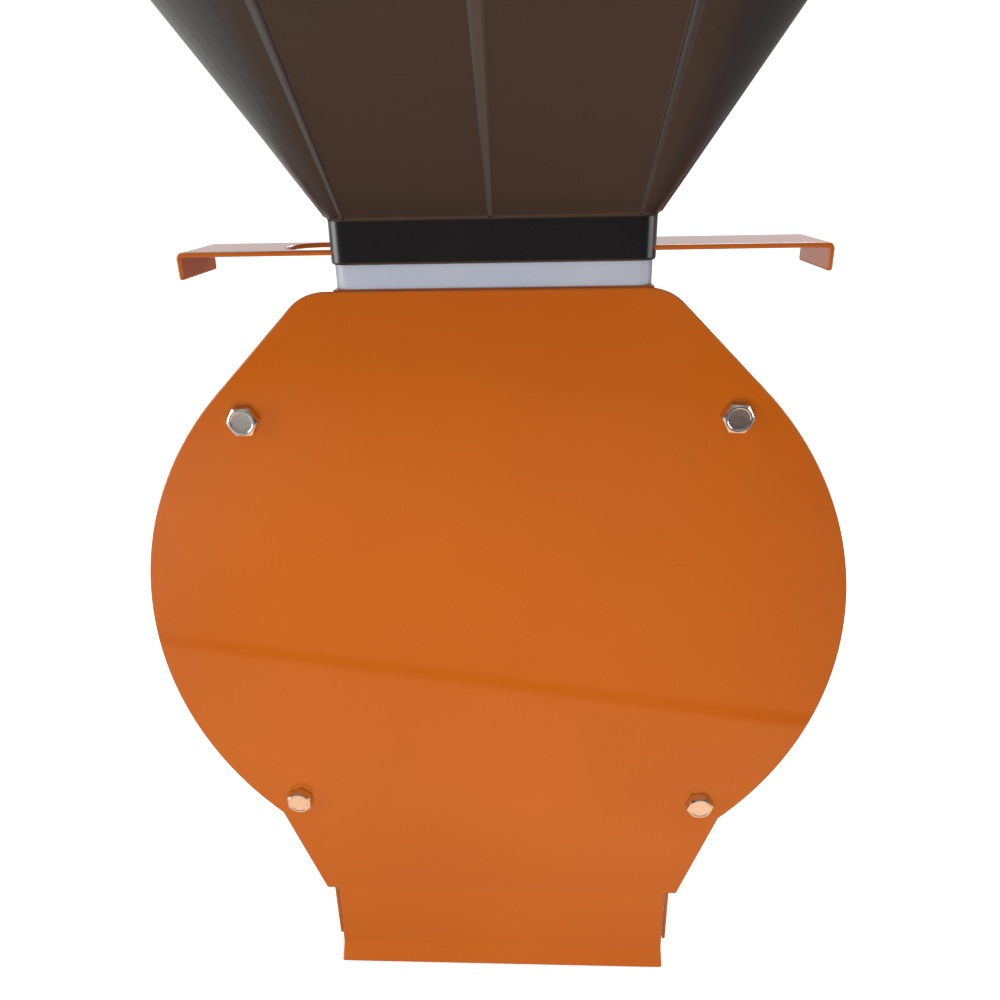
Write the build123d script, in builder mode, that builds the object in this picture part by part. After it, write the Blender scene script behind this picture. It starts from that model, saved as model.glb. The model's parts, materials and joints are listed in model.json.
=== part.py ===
from build123d import *
from math import asin, cos, degrees, radians, sin, sqrt
import os

# Electric grain mill: a hopper with a slide gate feeds a shallow round grinding
# chamber, hammers on a motor-driven rotor throw the grain against a screen, and
# the meal drops through a chute under the chamber.
# Millimetres. X is to the right seen from the front, Y runs back along the rotor's
# axis, Z is up. The origin is on the resting plane, at the middle of the foot's bolts.

os.makedirs("parts", exist_ok=True)

# Clearances
touch_gap = 0.05        # between fitted pieces that stay together
run_gap = 0.08          # radial, shaft or pin turning in a bore
slide_gap = 0.3         # around sliding pieces
bolt_gap = 0.5          # radial, bolt through a clearance hole

# Chamber and its two plates
axis_height = 240.0
plate_radius = 180.0
cover_sheet = 2.0
rear_sheet = 3.0
chamber_radius = 150.0
chamber_depth = 48.0
shell_sheet = 2.0
top_edge = 173.5        # straight top edge of the cover above the axis
rear_top_edge = 163.0   # the same edge of the rear plate
rear_tab_width = 110.0  # its tab behind the inlet duct
shoulder_round = 24.0
ledge_half = 107.0      # plates taper down to this half width
ledge_drop = 187.0      # below the axis
ledge_round = 5.0

# Chute and the cover's tongue, which closes the chute's front
chute_half = 103.0
chute_drop = 228.0
chute_sheet = 2.0
tongue_half = 99.7
tongue_lean = 4.0
fold_drop = 229.0
lip_length = 10.4
lip_angle = 45.0
fold_round = 2.5

# Cover bolts, M8, and the posts that they screw into
bolt_square = 115.0     # half the side of the bolts' square
m8_radius = 4.0
m8_across_flats = 13.0
m8_head = 5.3
head_chamfer = 0.6
cover_bolt_length = 25.0
post_radius = 8.0

# Inlet: duct, plastic spacer and the neck of the hopper
inlet_x = 3.5
throat_width = 80.0
throat_depth = 36.0
duct_sheet = 2.0
flange_width = 142.0
flange_sheet = 2.5
flange_top = 174.0      # above the axis
spacer_width = 141.0
spacer_depth = 44.0
spacer_height = 10.6
neck_width = 143.0
neck_depth = 48.2
neck_wall = 3.0
neck_floor = 3.7
neck_height = 18.9
neck_round = 7.0
neck_setback = 0.4      # its front behind the face of the cover

# Hopper above the neck
funnel_height = 136.5
mouth_side = 304.0
mouth_round = 70.0
hopper_wall = 4.0
box_height = 120.0
rim_width = 9.0
rim_sheet = 4.0
rim_skirt = 10.0
hopper_screw_x = 55.0
hopper_screw_y = 12.0
m5_radius = 2.5
m5_head_radius = 4.7
m5_sink = 2.8           # depth of the countersinks
m5_nut_flats = 8.0
m5_nut_height = 4.0
m5_end = 1.0            # how far each screw passes its nut

# Slide gate
gate_sheet = 2.2
gate_inside = 283.3     # between the inner faces of its two end tabs
gate_tab = 12.0
gate_round = 3.0
gate_shift = 3.45       # at rest, to the right of the inlet's middle
gate_window = 90.0
gate_window_start = 42.7  # from the left tab's inner face
gate_bar = 5.0
gate_window_round = 14.0

# Screen
screen_sheet = 1.2
screen_lap = 9.0        # how far each end reaches past the chute's wall, along the arc
screen_hole = 3.0       # radius
screen_pitch = 10.0
screen_margin = 9.0
stop_width = 5.0        # strips that keep the screen's ends in place
stop_height = 2.5

# Motor, IEC size 80 with a face flange and button-head bolts
button_head = 4.0
button_head_radius = 7.0
button_dome = 2.0
button_socket = 2.5
motor_flange_radius = 80.0
motor_flange = 10.0
motor_bolt_circle = 65.0
spigot_radius = 55.0
shield_neck = 18.0
frame_radius = 69.0
frame_bore = 62.0
frame_length = 120.0
fin_count = 36
fin_height = 9.0
fin_width = 2.4
shield_depth = 16.0
shield_web = 4.0
shield_spigot = 5.0     # how far each shield reaches into the frame
shield_skin = 1.0       # behind the rear bearing
shaft_reach = 40.0
shaft_radius = 9.5
bearing_seat = 10.0
core_seat = 14.0
bearing_radius = 23.5
bearing_width = 14.0
bearing_race = 13.9
bearing_inset = 1.0
fan_seat = 8.0
fan_radius = 68.0
fan_width = 20.0
fan_blades = 9
fan_hub = 14.0
fan_sheet = 2.0
fan_gap = 4.0           # from the rear shield to the fan
fan_room = 8.0          # from the fan to the cowl
cowl_sheet = 1.2
cowl_length = 72.0
cowl_round = 6.0
cowl_hole = 4.0
cowl_clear = 1.0        # from the fins, the saddle and the pad to the cowl
cowl_hole_rings = ((22.0, 8), (36.0, 14), (50.0, 20), (64.0, 26))   # radius and count
core_length = 80.0
core_bore = 34.0
rotor_gap = 0.4
winding_reach = 13.0
winding_inset = 5.0
winding_round = 3.0
end_ring = 8.0
end_ring_outer = 31.0
end_ring_inner = 22.0

# Rotor in the chamber
hub_radius = 24.0
hub_length = 29.5
hub_proud = 0.5         # in front of the shaft's end
key_width = 6.0
key_length = 22.0
key_in_shaft = 3.5
key_in_hub = 2.8
disc_radius = 100.0
disc_sheet = 3.0
disc_gap = 17.0
pin_circle = 88.0
pin_radius = 4.0
pin_head = 3.0
pin_head_radius = 6.5
hammer_count = 4
hammer_reach = 56.0
hammer_width = 26.0
hammer_thick = 5.0
sleeve_radius = 7.0
washer_radius = 15.0
washer_thick = 2.5

# Foot under the motor
foot_length = 150.0
foot_half = 93.0
foot_leg = 60.0
foot_top_half = 56.0
foot_sheet = 3.0
foot_gap = 4.0          # from the rear plate to the foot's front edge
foot_hole_x = 77.0
foot_hole_y = 55.0
foot_hole = 4.5
pad_half = 52.0
pad_drop = 82.0         # underside of the motor's pad below the axis
pad_bolt_x = 45.0
pad_bolt_y = 40.0
pad_thread = 14.0       # depth of the tapped holes
pad_bolt_reach = 12.0   # of the bolts above the foot

# Switch box on the motor
box_width = 110.0
box_depth = 90.0
box_tall = 42.0
box_wall = 3.0
box_round = 8.0
box_base = 80.0         # above the axis
box_forward = 4.0       # of the motor's middle
saddle_width = 77.0     # the motor's seat under the box
gasket_thick = 1.5
lid_thick = 4.0
button_radius = 11.0
button_spread = 22.0    # from the middle of the lid to each button
button_proud = 5.0
button_travel = 3.0
button_collar = 1.6
bezel_thick = 2.0
bezel_width = 88.0
bezel_depth = 39.2
bezel_round = 5.0
collar_rim = 1.5
button_edge = 1.2
block_width = 74.8
block_depth = 33.0
block_round = 2.0
lid_boss = 5.0          # radius of the posts that the lid's screws enter
lid_boss_depth = 20.0
lid_round = 1.5
lid_screw_reach = 15.0  # below the lid
m4_radius = 2.0
m4_head_radius = 3.6
m4_head = 2.4
gland_bore = 4.0
gland_thread = 8.0
gland_flats = 22.0
gland_length = 30.0
gland_inside = 3.0      # past the box's wall
gland_nut = 6.0
gland_taper = 8.0

# Capacitor beside the motor
capacitor_radius = 20.0
capacitor_length = 85.0
capacitor_gap = 2.0     # from the cowl to the strap
capacitor_forward = 12.0  # of the motor's middle
capacitor_edge = 2.5
strap_sheet = 1.5
strap_width = 18.0

# Places worked out from the sizes above
rear_back = -(foot_length / 2 + foot_gap)
rear_front = rear_back - rear_sheet
cover_back = rear_front - chamber_depth
cover_front = cover_back - cover_sheet
inlet_y = cover_front + neck_setback + neck_depth / 2
corner = plate_radius / sqrt(2)
shell_radius = chamber_radius + shell_sheet
flange_base = flange_top - flange_sheet
rear_tab_height = flange_base - rear_top_edge + shoulder_round
spacer_base = axis_height + flange_top
neck_base = spacer_base + spacer_height
gate_base = neck_base + neck_floor + slide_gap
neck_top = neck_base + neck_height
funnel_top = neck_top + funnel_height
hopper_top = funnel_top + box_height
gate_x = inlet_x + gate_shift
frame_front = rear_back + motor_flange + shield_neck
frame_back = frame_front + frame_length
shield_back = frame_back + shield_depth
shaft_front = rear_back - shaft_reach
hub_front = shaft_front - hub_proud
disc_front = hub_front + disc_sheet
disc_rear = disc_front + disc_sheet + disc_gap
hammer_front = disc_front + disc_sheet + (disc_gap - hammer_thick) / 2
core_middle = (frame_front + frame_back) / 2
core_front = core_middle - core_length / 2
fin_radius = frame_radius + fin_height
front_bearing = frame_front - bearing_width - bearing_inset
rear_bearing = frame_back + bearing_inset
fan_front = shield_back + fan_gap
cowl_back = fan_front + fan_width + fan_room
cowl_front = cowl_back - cowl_length
cowl_radius = fin_radius + cowl_clear
box_bottom = axis_height + box_base
lid_base = box_bottom + box_tall + gasket_thick
bezel_top = lid_base + lid_thick + bezel_thick
box_y = core_middle - box_forward


def front_plane(y):
    """Upright plane at depth y that faces the front, with its origin on the axis."""
    return Plane(origin=(0, y, axis_height), x_dir=(1, 0, 0), z_dir=(0, -1, 0))


def level(z):
    """Level plane at height z."""
    return Plane.XY.offset(z)


side_plane = Plane(origin=(0, 0, axis_height), x_dir=(0, 1, 0), z_dir=(1, 0, 0))
bolt_places = [(x, z) for x in (-bolt_square, bolt_square) for z in (-bolt_square, bolt_square)]
hammer_angles = [360 / hammer_count * n for n in range(hammer_count)]
pin_places = [(pin_circle * sin(radians(a)), pin_circle * cos(radians(a))) for a in hammer_angles]


def draw_plate(top):
    """Round plate whose shoulders rise at 45 degrees to a straight top edge.

    Its sides taper down to the ledges over the chute.
    """
    shoulder = plate_radius * sqrt(2) - top
    with BuildLine() as outline:
        Polyline((corner, corner), (shoulder, top), (-shoulder, top), (-corner, corner))
        ThreePointArc((-corner, corner), (-plate_radius, 0), (-corner, -corner))
        Polyline((-corner, -corner), (-ledge_half, -ledge_drop), (ledge_half, -ledge_drop), (corner, -corner))
        ThreePointArc((corner, -corner), (plate_radius, 0), (corner, corner))
    plate = make_face(outline.edges())
    fillet(plate.vertices().group_by(Axis.Y)[-1], shoulder_round)


def ring(y, length, outer, inner):
    """Tube along the rotor's axis, from depth y backwards, in the active part."""
    with BuildSketch(front_plane(y)) as profile:
        Circle(outer)
        Circle(inner, mode=Mode.SUBTRACT)
    extrude(profile.sketch, amount=-length)


def bores(y, length, radius, places):
    """Round holes parallel to the rotor's axis at places (x, z) measured from it."""
    with BuildSketch(front_plane(y)) as profile:
        with Locations(*places):
            Circle(radius)
    extrude(profile.sketch, amount=-length, mode=Mode.SUBTRACT)


def rods(y, length, radius, places):
    """Round bars parallel to the rotor's axis, from depth y backwards."""
    with BuildSketch(front_plane(y)) as profile:
        with Locations(*places):
            Circle(radius)
    extrude(profile.sketch, amount=-length)


def hexes(y, length, flats, places):
    """Hexagons parallel to the rotor's axis, from depth y backwards."""
    with BuildSketch(front_plane(y)) as profile:
        with Locations(*places):
            RegularPolygon(flats / 2, 6, major_radius=False)
    extrude(profile.sketch, amount=-length)


def sector(inner, outer, start, end):
    """Face between two radii and two angles, in degrees from straight down."""
    def spot(radius, angle):
        return (radius * sin(radians(angle)), -radius * cos(radians(angle)))

    middle = (start + end) / 2
    with BuildLine() as outline:
        ThreePointArc(spot(outer, start), spot(outer, middle), spot(outer, end))
        Line(spot(outer, end), spot(inner, end))
        ThreePointArc(spot(inner, end), spot(inner, middle), spot(inner, start))
        Line(spot(inner, start), spot(outer, start))
    make_face(outline.edges())


# ---- chamber -------------------------------------------------------------------

with BuildPart() as front_cover:
    with BuildSketch(front_plane(cover_front)):
        draw_plate(top_edge)
    extrude(amount=-cover_sheet)
    lip_run = lip_length * cos(radians(lip_angle))
    lip_fall = lip_length * sin(radians(lip_angle))
    with BuildSketch(side_plane):
        with BuildLine():
            FilletPolyline(
                (cover_front, -ledge_drop + fold_round * 2),
                (cover_front, -ledge_drop),
                (cover_front - tongue_lean, -fold_drop),
                (cover_front - tongue_lean - lip_run, -fold_drop - lip_fall),
                radius=fold_round,
            )
            offset(amount=cover_sheet, side=Side.LEFT)
        make_face()
    extrude(amount=tongue_half, both=True)
    bores(cover_front, cover_sheet, m8_radius + bolt_gap, bolt_places)

front_cover.part.label = "front_cover"
export_step(front_cover.part, "parts/front_cover.step")

with BuildPart() as rear_plate:
    with BuildSketch(front_plane(rear_front)):
        draw_plate(rear_top_edge)
        with Locations((inlet_x, flange_base - rear_tab_height / 2)):
            Rectangle(rear_tab_width, rear_tab_height)
        with Locations((0, -(ledge_drop + chute_drop) / 2)):
            Rectangle(2 * chute_half, chute_drop - ledge_drop + 2 * ledge_round)
        with Locations((0, -chute_drop - ledge_round)):
            Rectangle(2 * chute_half, 2 * ledge_round, mode=Mode.SUBTRACT)
        Circle(spigot_radius + touch_gap, mode=Mode.SUBTRACT)
        with PolarLocations(motor_bolt_circle, 4, start_angle=45):
            Circle(m8_radius + bolt_gap, mode=Mode.SUBTRACT)
    extrude(amount=-rear_sheet)

rear_plate.part.label = "rear_plate"
export_step(rear_plate.part, "parts/rear_plate.step")

with BuildPart() as drum_shell:
    ring(cover_back, chamber_depth, shell_radius, chamber_radius)
    with BuildSketch(front_plane(cover_back)):
        with Locations((0, -shell_radius)):
            Rectangle(2 * (chute_half - chute_sheet), shell_radius)
        with Locations((inlet_x, shell_radius)):
            Rectangle(throat_width, shell_radius / 2)
    extrude(amount=-chamber_depth, mode=Mode.SUBTRACT)

drum_shell.part.label = "drum_shell"
export_step(drum_shell.part, "parts/drum_shell.step")

for side, name in ((-1, "chute_wall_left"), (1, "chute_wall_right")):
    wall_top = -chute_half / 2
    with BuildPart() as chute_wall:
        with BuildSketch(front_plane(cover_back)):
            with Locations((side * (chute_half - chute_sheet / 2), (wall_top - chute_drop) / 2)):
                Rectangle(chute_sheet, wall_top + chute_drop)
            Circle(shell_radius, mode=Mode.SUBTRACT)
        extrude(amount=-chamber_depth)
    chute_wall.part.label = name
    export_step(chute_wall.part, f"parts/{name}.step")

with BuildPart() as cover_posts:
    rods(cover_back, chamber_depth, post_radius, bolt_places)
    bores(cover_back, cover_bolt_length, m8_radius + touch_gap, bolt_places)

cover_posts.part.label = "cover_posts"
export_step(cover_posts.part, "parts/cover_posts.step")

with BuildPart() as cover_bolts:
    hexes(cover_front - m8_head, m8_head, m8_across_flats, bolt_places)
    chamfer(cover_bolts.faces().filter_by(Axis.Y).group_by(Axis.Y)[0].edges(), head_chamfer)
    rods(cover_front, cover_bolt_length - touch_gap, m8_radius, bolt_places)

cover_bolts.part.label = "cover_bolts"
export_step(cover_bolts.part, "parts/cover_bolts.step")

screen_outer = chamber_radius - touch_gap
screen_inner = screen_outer - screen_sheet
cut_angle = degrees(asin((chute_half - chute_sheet) / chamber_radius))
screen_half = cut_angle + degrees(screen_lap / chamber_radius)
hole_rows = int((chamber_depth - 2 * screen_margin) // screen_pitch) + 1
hole_columns = int(radians(2 * cut_angle) * chamber_radius // screen_pitch) - 1
hole_angle = degrees(screen_pitch / chamber_radius)
screen_holes = [
    Location(
        (
            screen_inner * sin(radians(hole_angle * (n - (hole_columns - 1) / 2))),
            cover_back + chamber_depth / 2 + screen_pitch * (row - (hole_rows - 1) / 2),
            axis_height - screen_inner * cos(radians(hole_angle * (n - (hole_columns - 1) / 2))),
        ),
        (0, -hole_angle * (n - (hole_columns - 1) / 2), 0),
    )
    for n in range(hole_columns)
    for row in range(hole_rows)
]

with BuildPart() as screen:
    with BuildSketch(front_plane(cover_back + slide_gap)):
        sector(screen_inner, screen_outer, -screen_half, screen_half)
    extrude(amount=-(chamber_depth - 2 * slide_gap))
    with Locations(*screen_holes):
        Cylinder(screen_hole, 6 * screen_sheet, mode=Mode.SUBTRACT)

screen.part.label = "screen"
export_step(screen.part, "parts/screen.step")

stop_start = screen_half + degrees(slide_gap / chamber_radius)
stop_end = stop_start + degrees(stop_width / chamber_radius)

with BuildPart() as screen_stops:
    for start, end in ((stop_start, stop_end), (-stop_end, -stop_start)):
        with BuildSketch(front_plane(cover_back + slide_gap)):
            sector(chamber_radius - stop_height, chamber_radius, start, end)
        extrude(amount=-(chamber_depth - 2 * slide_gap))

screen_stops.part.label = "screen_stops"
export_step(screen_stops.part, "parts/screen_stops.step")

# ---- inlet and hopper ------------------------------------------------------------

hopper_screw_places = [
    (inlet_x + sx * hopper_screw_x, inlet_y + sy * hopper_screw_y)
    for sx in (-1, 1)
    for sy in (-1, 1)
]


def screw_holes(z, height, radius):
    """Upright holes for the hopper's screws, in the active part."""
    with BuildSketch(level(z)) as profile:
        with Locations(*hopper_screw_places):
            Circle(radius)
    extrude(profile.sketch, amount=height, mode=Mode.SUBTRACT)


with BuildPart() as inlet_duct:
    for side in (-1, 1):
        with BuildSketch(front_plane(cover_back)):
            with Locations((inlet_x + side * (throat_width + duct_sheet) / 2, flange_base / 2)):
                Rectangle(duct_sheet, flange_base)
            Circle(shell_radius, mode=Mode.SUBTRACT)
        extrude(amount=-chamber_depth)
    with BuildSketch(level(axis_height + flange_base)):
        with Locations((inlet_x, (cover_back + rear_front) / 2)):
            Rectangle(flange_width, chamber_depth)
        with Locations((inlet_x, inlet_y)):
            Rectangle(throat_width, throat_depth, mode=Mode.SUBTRACT)
    extrude(amount=flange_sheet)
    screw_holes(axis_height + flange_base, flange_sheet, m5_radius + touch_gap)

inlet_duct.part.label = "inlet_duct"
export_step(inlet_duct.part, "parts/inlet_duct.step")

with BuildPart() as spacer_frame:
    with BuildSketch(level(spacer_base)):
        with Locations((inlet_x, inlet_y)):
            RectangleRounded(spacer_width, spacer_depth, neck_round)
            Rectangle(throat_width, throat_depth, mode=Mode.SUBTRACT)
    extrude(amount=spacer_height)
    screw_holes(spacer_base, spacer_height, m5_radius + bolt_gap)

spacer_frame.part.label = "spacer_frame"
export_step(spacer_frame.part, "parts/spacer_frame.step")

neck_inner_width = neck_width - 2 * neck_wall
neck_inner_depth = neck_depth - 2 * neck_wall
slot_height = gate_sheet + 2 * slide_gap

with BuildPart() as hopper:
    with BuildSketch(level(neck_base)):
        with Locations((inlet_x, inlet_y)):
            RectangleRounded(neck_width, neck_depth, neck_round)
    extrude(amount=neck_height)
    for z, width, depth, rounding in (
        (neck_top, neck_width, neck_depth, neck_round),
        (funnel_top, mouth_side, mouth_side, mouth_round),
    ):
        with BuildSketch(level(z)):
            with Locations((inlet_x, inlet_y)):
                RectangleRounded(width, depth, rounding)
    loft(ruled=True)
    with BuildSketch(level(funnel_top)):
        with Locations((inlet_x, inlet_y)):
            RectangleRounded(mouth_side, mouth_side, mouth_round)
    extrude(amount=box_height)
    with BuildSketch(level(hopper_top - rim_skirt)):
        with Locations((inlet_x, inlet_y)):
            RectangleRounded(mouth_side + 2 * rim_width, mouth_side + 2 * rim_width, mouth_round + rim_width)
            RectangleRounded(mouth_side - 1, mouth_side - 1, mouth_round, mode=Mode.SUBTRACT)
    extrude(amount=rim_skirt)
    with BuildSketch(level(hopper_top - rim_skirt)):
        with Locations((inlet_x, inlet_y)):
            RectangleRounded(
                mouth_side + 2 * (rim_width - rim_sheet),
                mouth_side + 2 * (rim_width - rim_sheet),
                mouth_round + rim_width - rim_sheet,
            )
            RectangleRounded(mouth_side, mouth_side, mouth_round, mode=Mode.SUBTRACT)
    extrude(amount=rim_skirt - rim_sheet, mode=Mode.SUBTRACT)
    inner_side = mouth_side - 2 * hopper_wall
    inner_round = mouth_round - hopper_wall
    with BuildSketch(level(funnel_top)):
        with Locations((inlet_x, inlet_y)):
            RectangleRounded(inner_side, inner_side, inner_round)
    extrude(amount=box_height, mode=Mode.SUBTRACT)
    for z, width, depth, rounding in (
        (neck_top, neck_inner_width, neck_inner_depth, neck_round - neck_wall),
        (funnel_top, inner_side, inner_side, inner_round),
    ):
        with BuildSketch(level(z)):
            with Locations((inlet_x, inlet_y)):
                RectangleRounded(width, depth, rounding)
    loft(ruled=True, mode=Mode.SUBTRACT)
    with BuildSketch(level(neck_base + neck_floor)):
        with Locations((inlet_x, inlet_y)):
            RectangleRounded(neck_inner_width, neck_inner_depth, neck_round - neck_wall)
    extrude(amount=neck_height - neck_floor, mode=Mode.SUBTRACT)
    with BuildSketch(level(neck_base + neck_floor)):
        with Locations((inlet_x, inlet_y)):
            Rectangle(2 * neck_width, neck_inner_depth)
    extrude(amount=slot_height, mode=Mode.SUBTRACT)
    with BuildSketch(level(neck_base)):
        with Locations((inlet_x, inlet_y)):
            Rectangle(throat_width, throat_depth)
    extrude(amount=neck_floor, mode=Mode.SUBTRACT)
    screw_holes(neck_base, neck_floor, m5_radius + bolt_gap)
    with Locations(*[Pos(x, y, neck_base + neck_floor - m5_sink / 2) for x, y in hopper_screw_places]):
        Cone(m5_radius + bolt_gap, m5_head_radius + bolt_gap, m5_sink, mode=Mode.SUBTRACT)

hopper.part.label = "hopper"
export_step(hopper.part, "parts/hopper.step")

screw_bottom = axis_height + flange_base - m5_nut_height - m5_end
screw_top = neck_base + neck_floor

with BuildPart() as hopper_screws:
    with BuildSketch(level(screw_bottom)):
        with Locations(*hopper_screw_places):
            Circle(m5_radius)
    extrude(amount=screw_top - screw_bottom)
    with Locations(*[Pos(x, y, screw_top - m5_sink / 2 - touch_gap) for x, y in hopper_screw_places]):
        Cone(m5_radius, m5_head_radius, m5_sink - 2 * touch_gap)

hopper_screws.part.label = "hopper_screws"
export_step(hopper_screws.part, "parts/hopper_screws.step")

with BuildPart() as hopper_nuts:
    with BuildSketch(level(axis_height + flange_base - m5_nut_height)):
        with Locations(*hopper_screw_places):
            RegularPolygon(m5_nut_flats / 2, 6, major_radius=False)
            Circle(m5_radius + touch_gap, mode=Mode.SUBTRACT)
    extrude(amount=m5_nut_height)

hopper_nuts.part.label = "hopper_nuts"
export_step(hopper_nuts.part, "parts/hopper_nuts.step")

gate_depth = neck_inner_depth - 2 * slide_gap
gate_outer_half = gate_inside / 2 + gate_sheet
gate_top = gate_base + gate_sheet
window_x = gate_x - gate_inside / 2 + gate_window_start + gate_window / 2
window_depth = gate_depth - 2 * gate_bar

with BuildPart() as slide_gate:
    with BuildSketch(Plane(origin=(gate_x, inlet_y, gate_top), x_dir=(1, 0, 0), z_dir=(0, -1, 0))):
        with BuildLine():
            FilletPolyline(
                (-gate_outer_half, -gate_tab),
                (-gate_outer_half, 0),
                (gate_outer_half, 0),
                (gate_outer_half, -gate_tab),
                radius=gate_round,
            )
            offset(amount=gate_sheet, side=Side.RIGHT)
        make_face()
    extrude(amount=gate_depth / 2, both=True)
    with BuildSketch(level(gate_base)):
        with Locations((window_x, inlet_y)):
            RectangleRounded(gate_window, window_depth, min(gate_window_round, window_depth / 2 - touch_gap))
    extrude(amount=gate_sheet, mode=Mode.SUBTRACT)

slide_gate.part.label = "slide_gate"
export_step(slide_gate.part, "parts/slide_gate.step")

# ---- rotor in the chamber ----------------------------------------------------------

shaft_end = fan_front + fan_width
core_seat_front = front_bearing + bearing_width
key_y = hub_front + (hub_length - key_length) / 2

with BuildPart() as shaft:
    rods(shaft_front, shaft_reach, shaft_radius, [(0, 0)])
    rods(rear_back, core_seat_front - rear_back, bearing_seat, [(0, 0)])
    rods(core_seat_front, rear_bearing - core_seat_front, core_seat, [(0, 0)])
    rods(rear_bearing, fan_front - rear_bearing, bearing_seat, [(0, 0)])
    rods(fan_front, shaft_end - fan_front, fan_seat, [(0, 0)])
    with BuildSketch(front_plane(key_y)):
        with Locations((0, shaft_radius)):
            Rectangle(key_width, 2 * key_in_shaft)
    extrude(amount=-key_length, mode=Mode.SUBTRACT)
    bores(shaft_front, cover_bolt_length, m8_radius + touch_gap, [(0, 0)])

shaft.part.label = "shaft"
export_step(shaft.part, "parts/shaft.step")

with BuildPart() as hub:
    ring(hub_front, hub_length, hub_radius, shaft_radius + touch_gap)
    with BuildSketch(front_plane(hub_front)):
        with Locations((0, shaft_radius)):
            Rectangle(key_width + 2 * touch_gap, 2 * key_in_hub)
    extrude(amount=-hub_length, mode=Mode.SUBTRACT)

hub.part.label = "hub"
export_step(hub.part, "parts/hub.step")

with BuildPart() as shaft_key:
    with BuildSketch(front_plane(key_y + touch_gap)):
        with Locations((0, shaft_radius + (key_in_hub - key_in_shaft) / 2)):
            Rectangle(key_width - 2 * touch_gap, key_in_hub + key_in_shaft - 2 * touch_gap)
    extrude(amount=-(key_length - 2 * touch_gap))

shaft_key.part.label = "shaft_key"
export_step(shaft_key.part, "parts/shaft_key.step")

for y, name in ((disc_front, "rotor_disc_front"), (disc_rear, "rotor_disc_rear")):
    with BuildPart() as rotor_disc:
        ring(y, disc_sheet, disc_radius, hub_radius + touch_gap)
        bores(y, disc_sheet, pin_radius + touch_gap, pin_places)
    rotor_disc.part.label = name
    export_step(rotor_disc.part, f"parts/{name}.step")

pin_front = disc_front - touch_gap
pin_back = disc_rear + disc_sheet + touch_gap

with BuildPart() as hammer_pins:
    rods(pin_front, pin_back - pin_front, pin_radius, pin_places)
    rods(pin_front - pin_head, pin_head, pin_head_radius, pin_places)
    rods(pin_back, pin_head, pin_head_radius, pin_places)

hammer_pins.part.label = "hammer_pins"
export_step(hammer_pins.part, "parts/hammer_pins.step")

sleeve_length = (disc_gap - hammer_thick) / 2 - 2 * slide_gap

with BuildPart() as pin_sleeves:
    for y in (disc_front + disc_sheet + slide_gap, hammer_front + hammer_thick + slide_gap):
        rods(y, sleeve_length, sleeve_radius, pin_places)
        bores(y, sleeve_length, pin_radius + touch_gap, pin_places)

pin_sleeves.part.label = "pin_sleeves"
export_step(pin_sleeves.part, "parts/pin_sleeves.step")

for number, (pin_x, pin_z) in enumerate(pin_places, 1):
    with BuildPart() as hammer:
        with BuildSketch(front_plane(hammer_front)):
            with Locations((pin_x, pin_z)):
                Circle(hammer_width / 2)
            with Locations((pin_x, pin_z - hammer_reach / 2)):
                Rectangle(hammer_width, hammer_reach)
            with Locations((pin_x, pin_z)):
                Circle(pin_radius + run_gap, mode=Mode.SUBTRACT)
        extrude(amount=-hammer_thick)
    hammer.part.label = f"hammer_{number}"
    export_step(hammer.part, f"parts/hammer_{number}.step")

with BuildPart() as shaft_washer:
    ring(hub_front - washer_thick, washer_thick, washer_radius, m8_radius + bolt_gap)

shaft_washer.part.label = "shaft_washer"
export_step(shaft_washer.part, "parts/shaft_washer.step")

with BuildPart() as shaft_bolt:
    hexes(hub_front - washer_thick - m8_head, m8_head, m8_across_flats, [(0, 0)])
    rods(hub_front - washer_thick, cover_bolt_length, m8_radius, [(0, 0)])

shaft_bolt.part.label = "shaft_bolt"
export_step(shaft_bolt.part, "parts/shaft_bolt.step")

# ---- motor --------------------------------------------------------------------------

flange_bolt_places = [
    (motor_bolt_circle * cos(radians(a)), motor_bolt_circle * sin(radians(a)))
    for a in (45, 135, 225, 315)
]
motor_bolt_length = rear_sheet + motor_flange - 1.0

with BuildPart() as motor_flange_shield:
    ring(rear_back - rear_sheet, rear_sheet, spigot_radius, bearing_radius)
    ring(rear_back, motor_flange, motor_flange_radius, bearing_radius)
    ring(rear_back + motor_flange, shield_neck, frame_radius, bearing_radius)
    ring(rear_front, shield_web, bearing_radius, bearing_seat + run_gap)
    ring(frame_front, shield_spigot, frame_bore - touch_gap, frame_bore - shield_web)
    bores(rear_back, motor_bolt_length, m8_radius + touch_gap, flange_bolt_places)

motor_flange_shield.part.label = "motor_flange_shield"
export_step(motor_flange_shield.part, "parts/motor_flange_shield.step")

with BuildPart() as motor_bolts:
    rods(rear_front - button_head, button_head, button_head_radius, flange_bolt_places)
    fillet(motor_bolts.faces().filter_by(Axis.Y).group_by(Axis.Y)[0].edges(), button_dome)
    rods(rear_front, motor_bolt_length, m8_radius, flange_bolt_places)
    with BuildSketch(front_plane(rear_front - button_head)):
        with Locations(*flange_bolt_places):
            RegularPolygon(button_socket, 6, major_radius=False)
    extrude(amount=-button_socket, mode=Mode.SUBTRACT)

motor_bolts.part.label = "motor_bolts"
export_step(motor_bolts.part, "parts/motor_bolts.step")

pad_places = [
    (sx * pad_bolt_x, core_middle + sy * pad_bolt_y) for sx in (-1, 1) for sy in (-1, 1)
]

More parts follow.
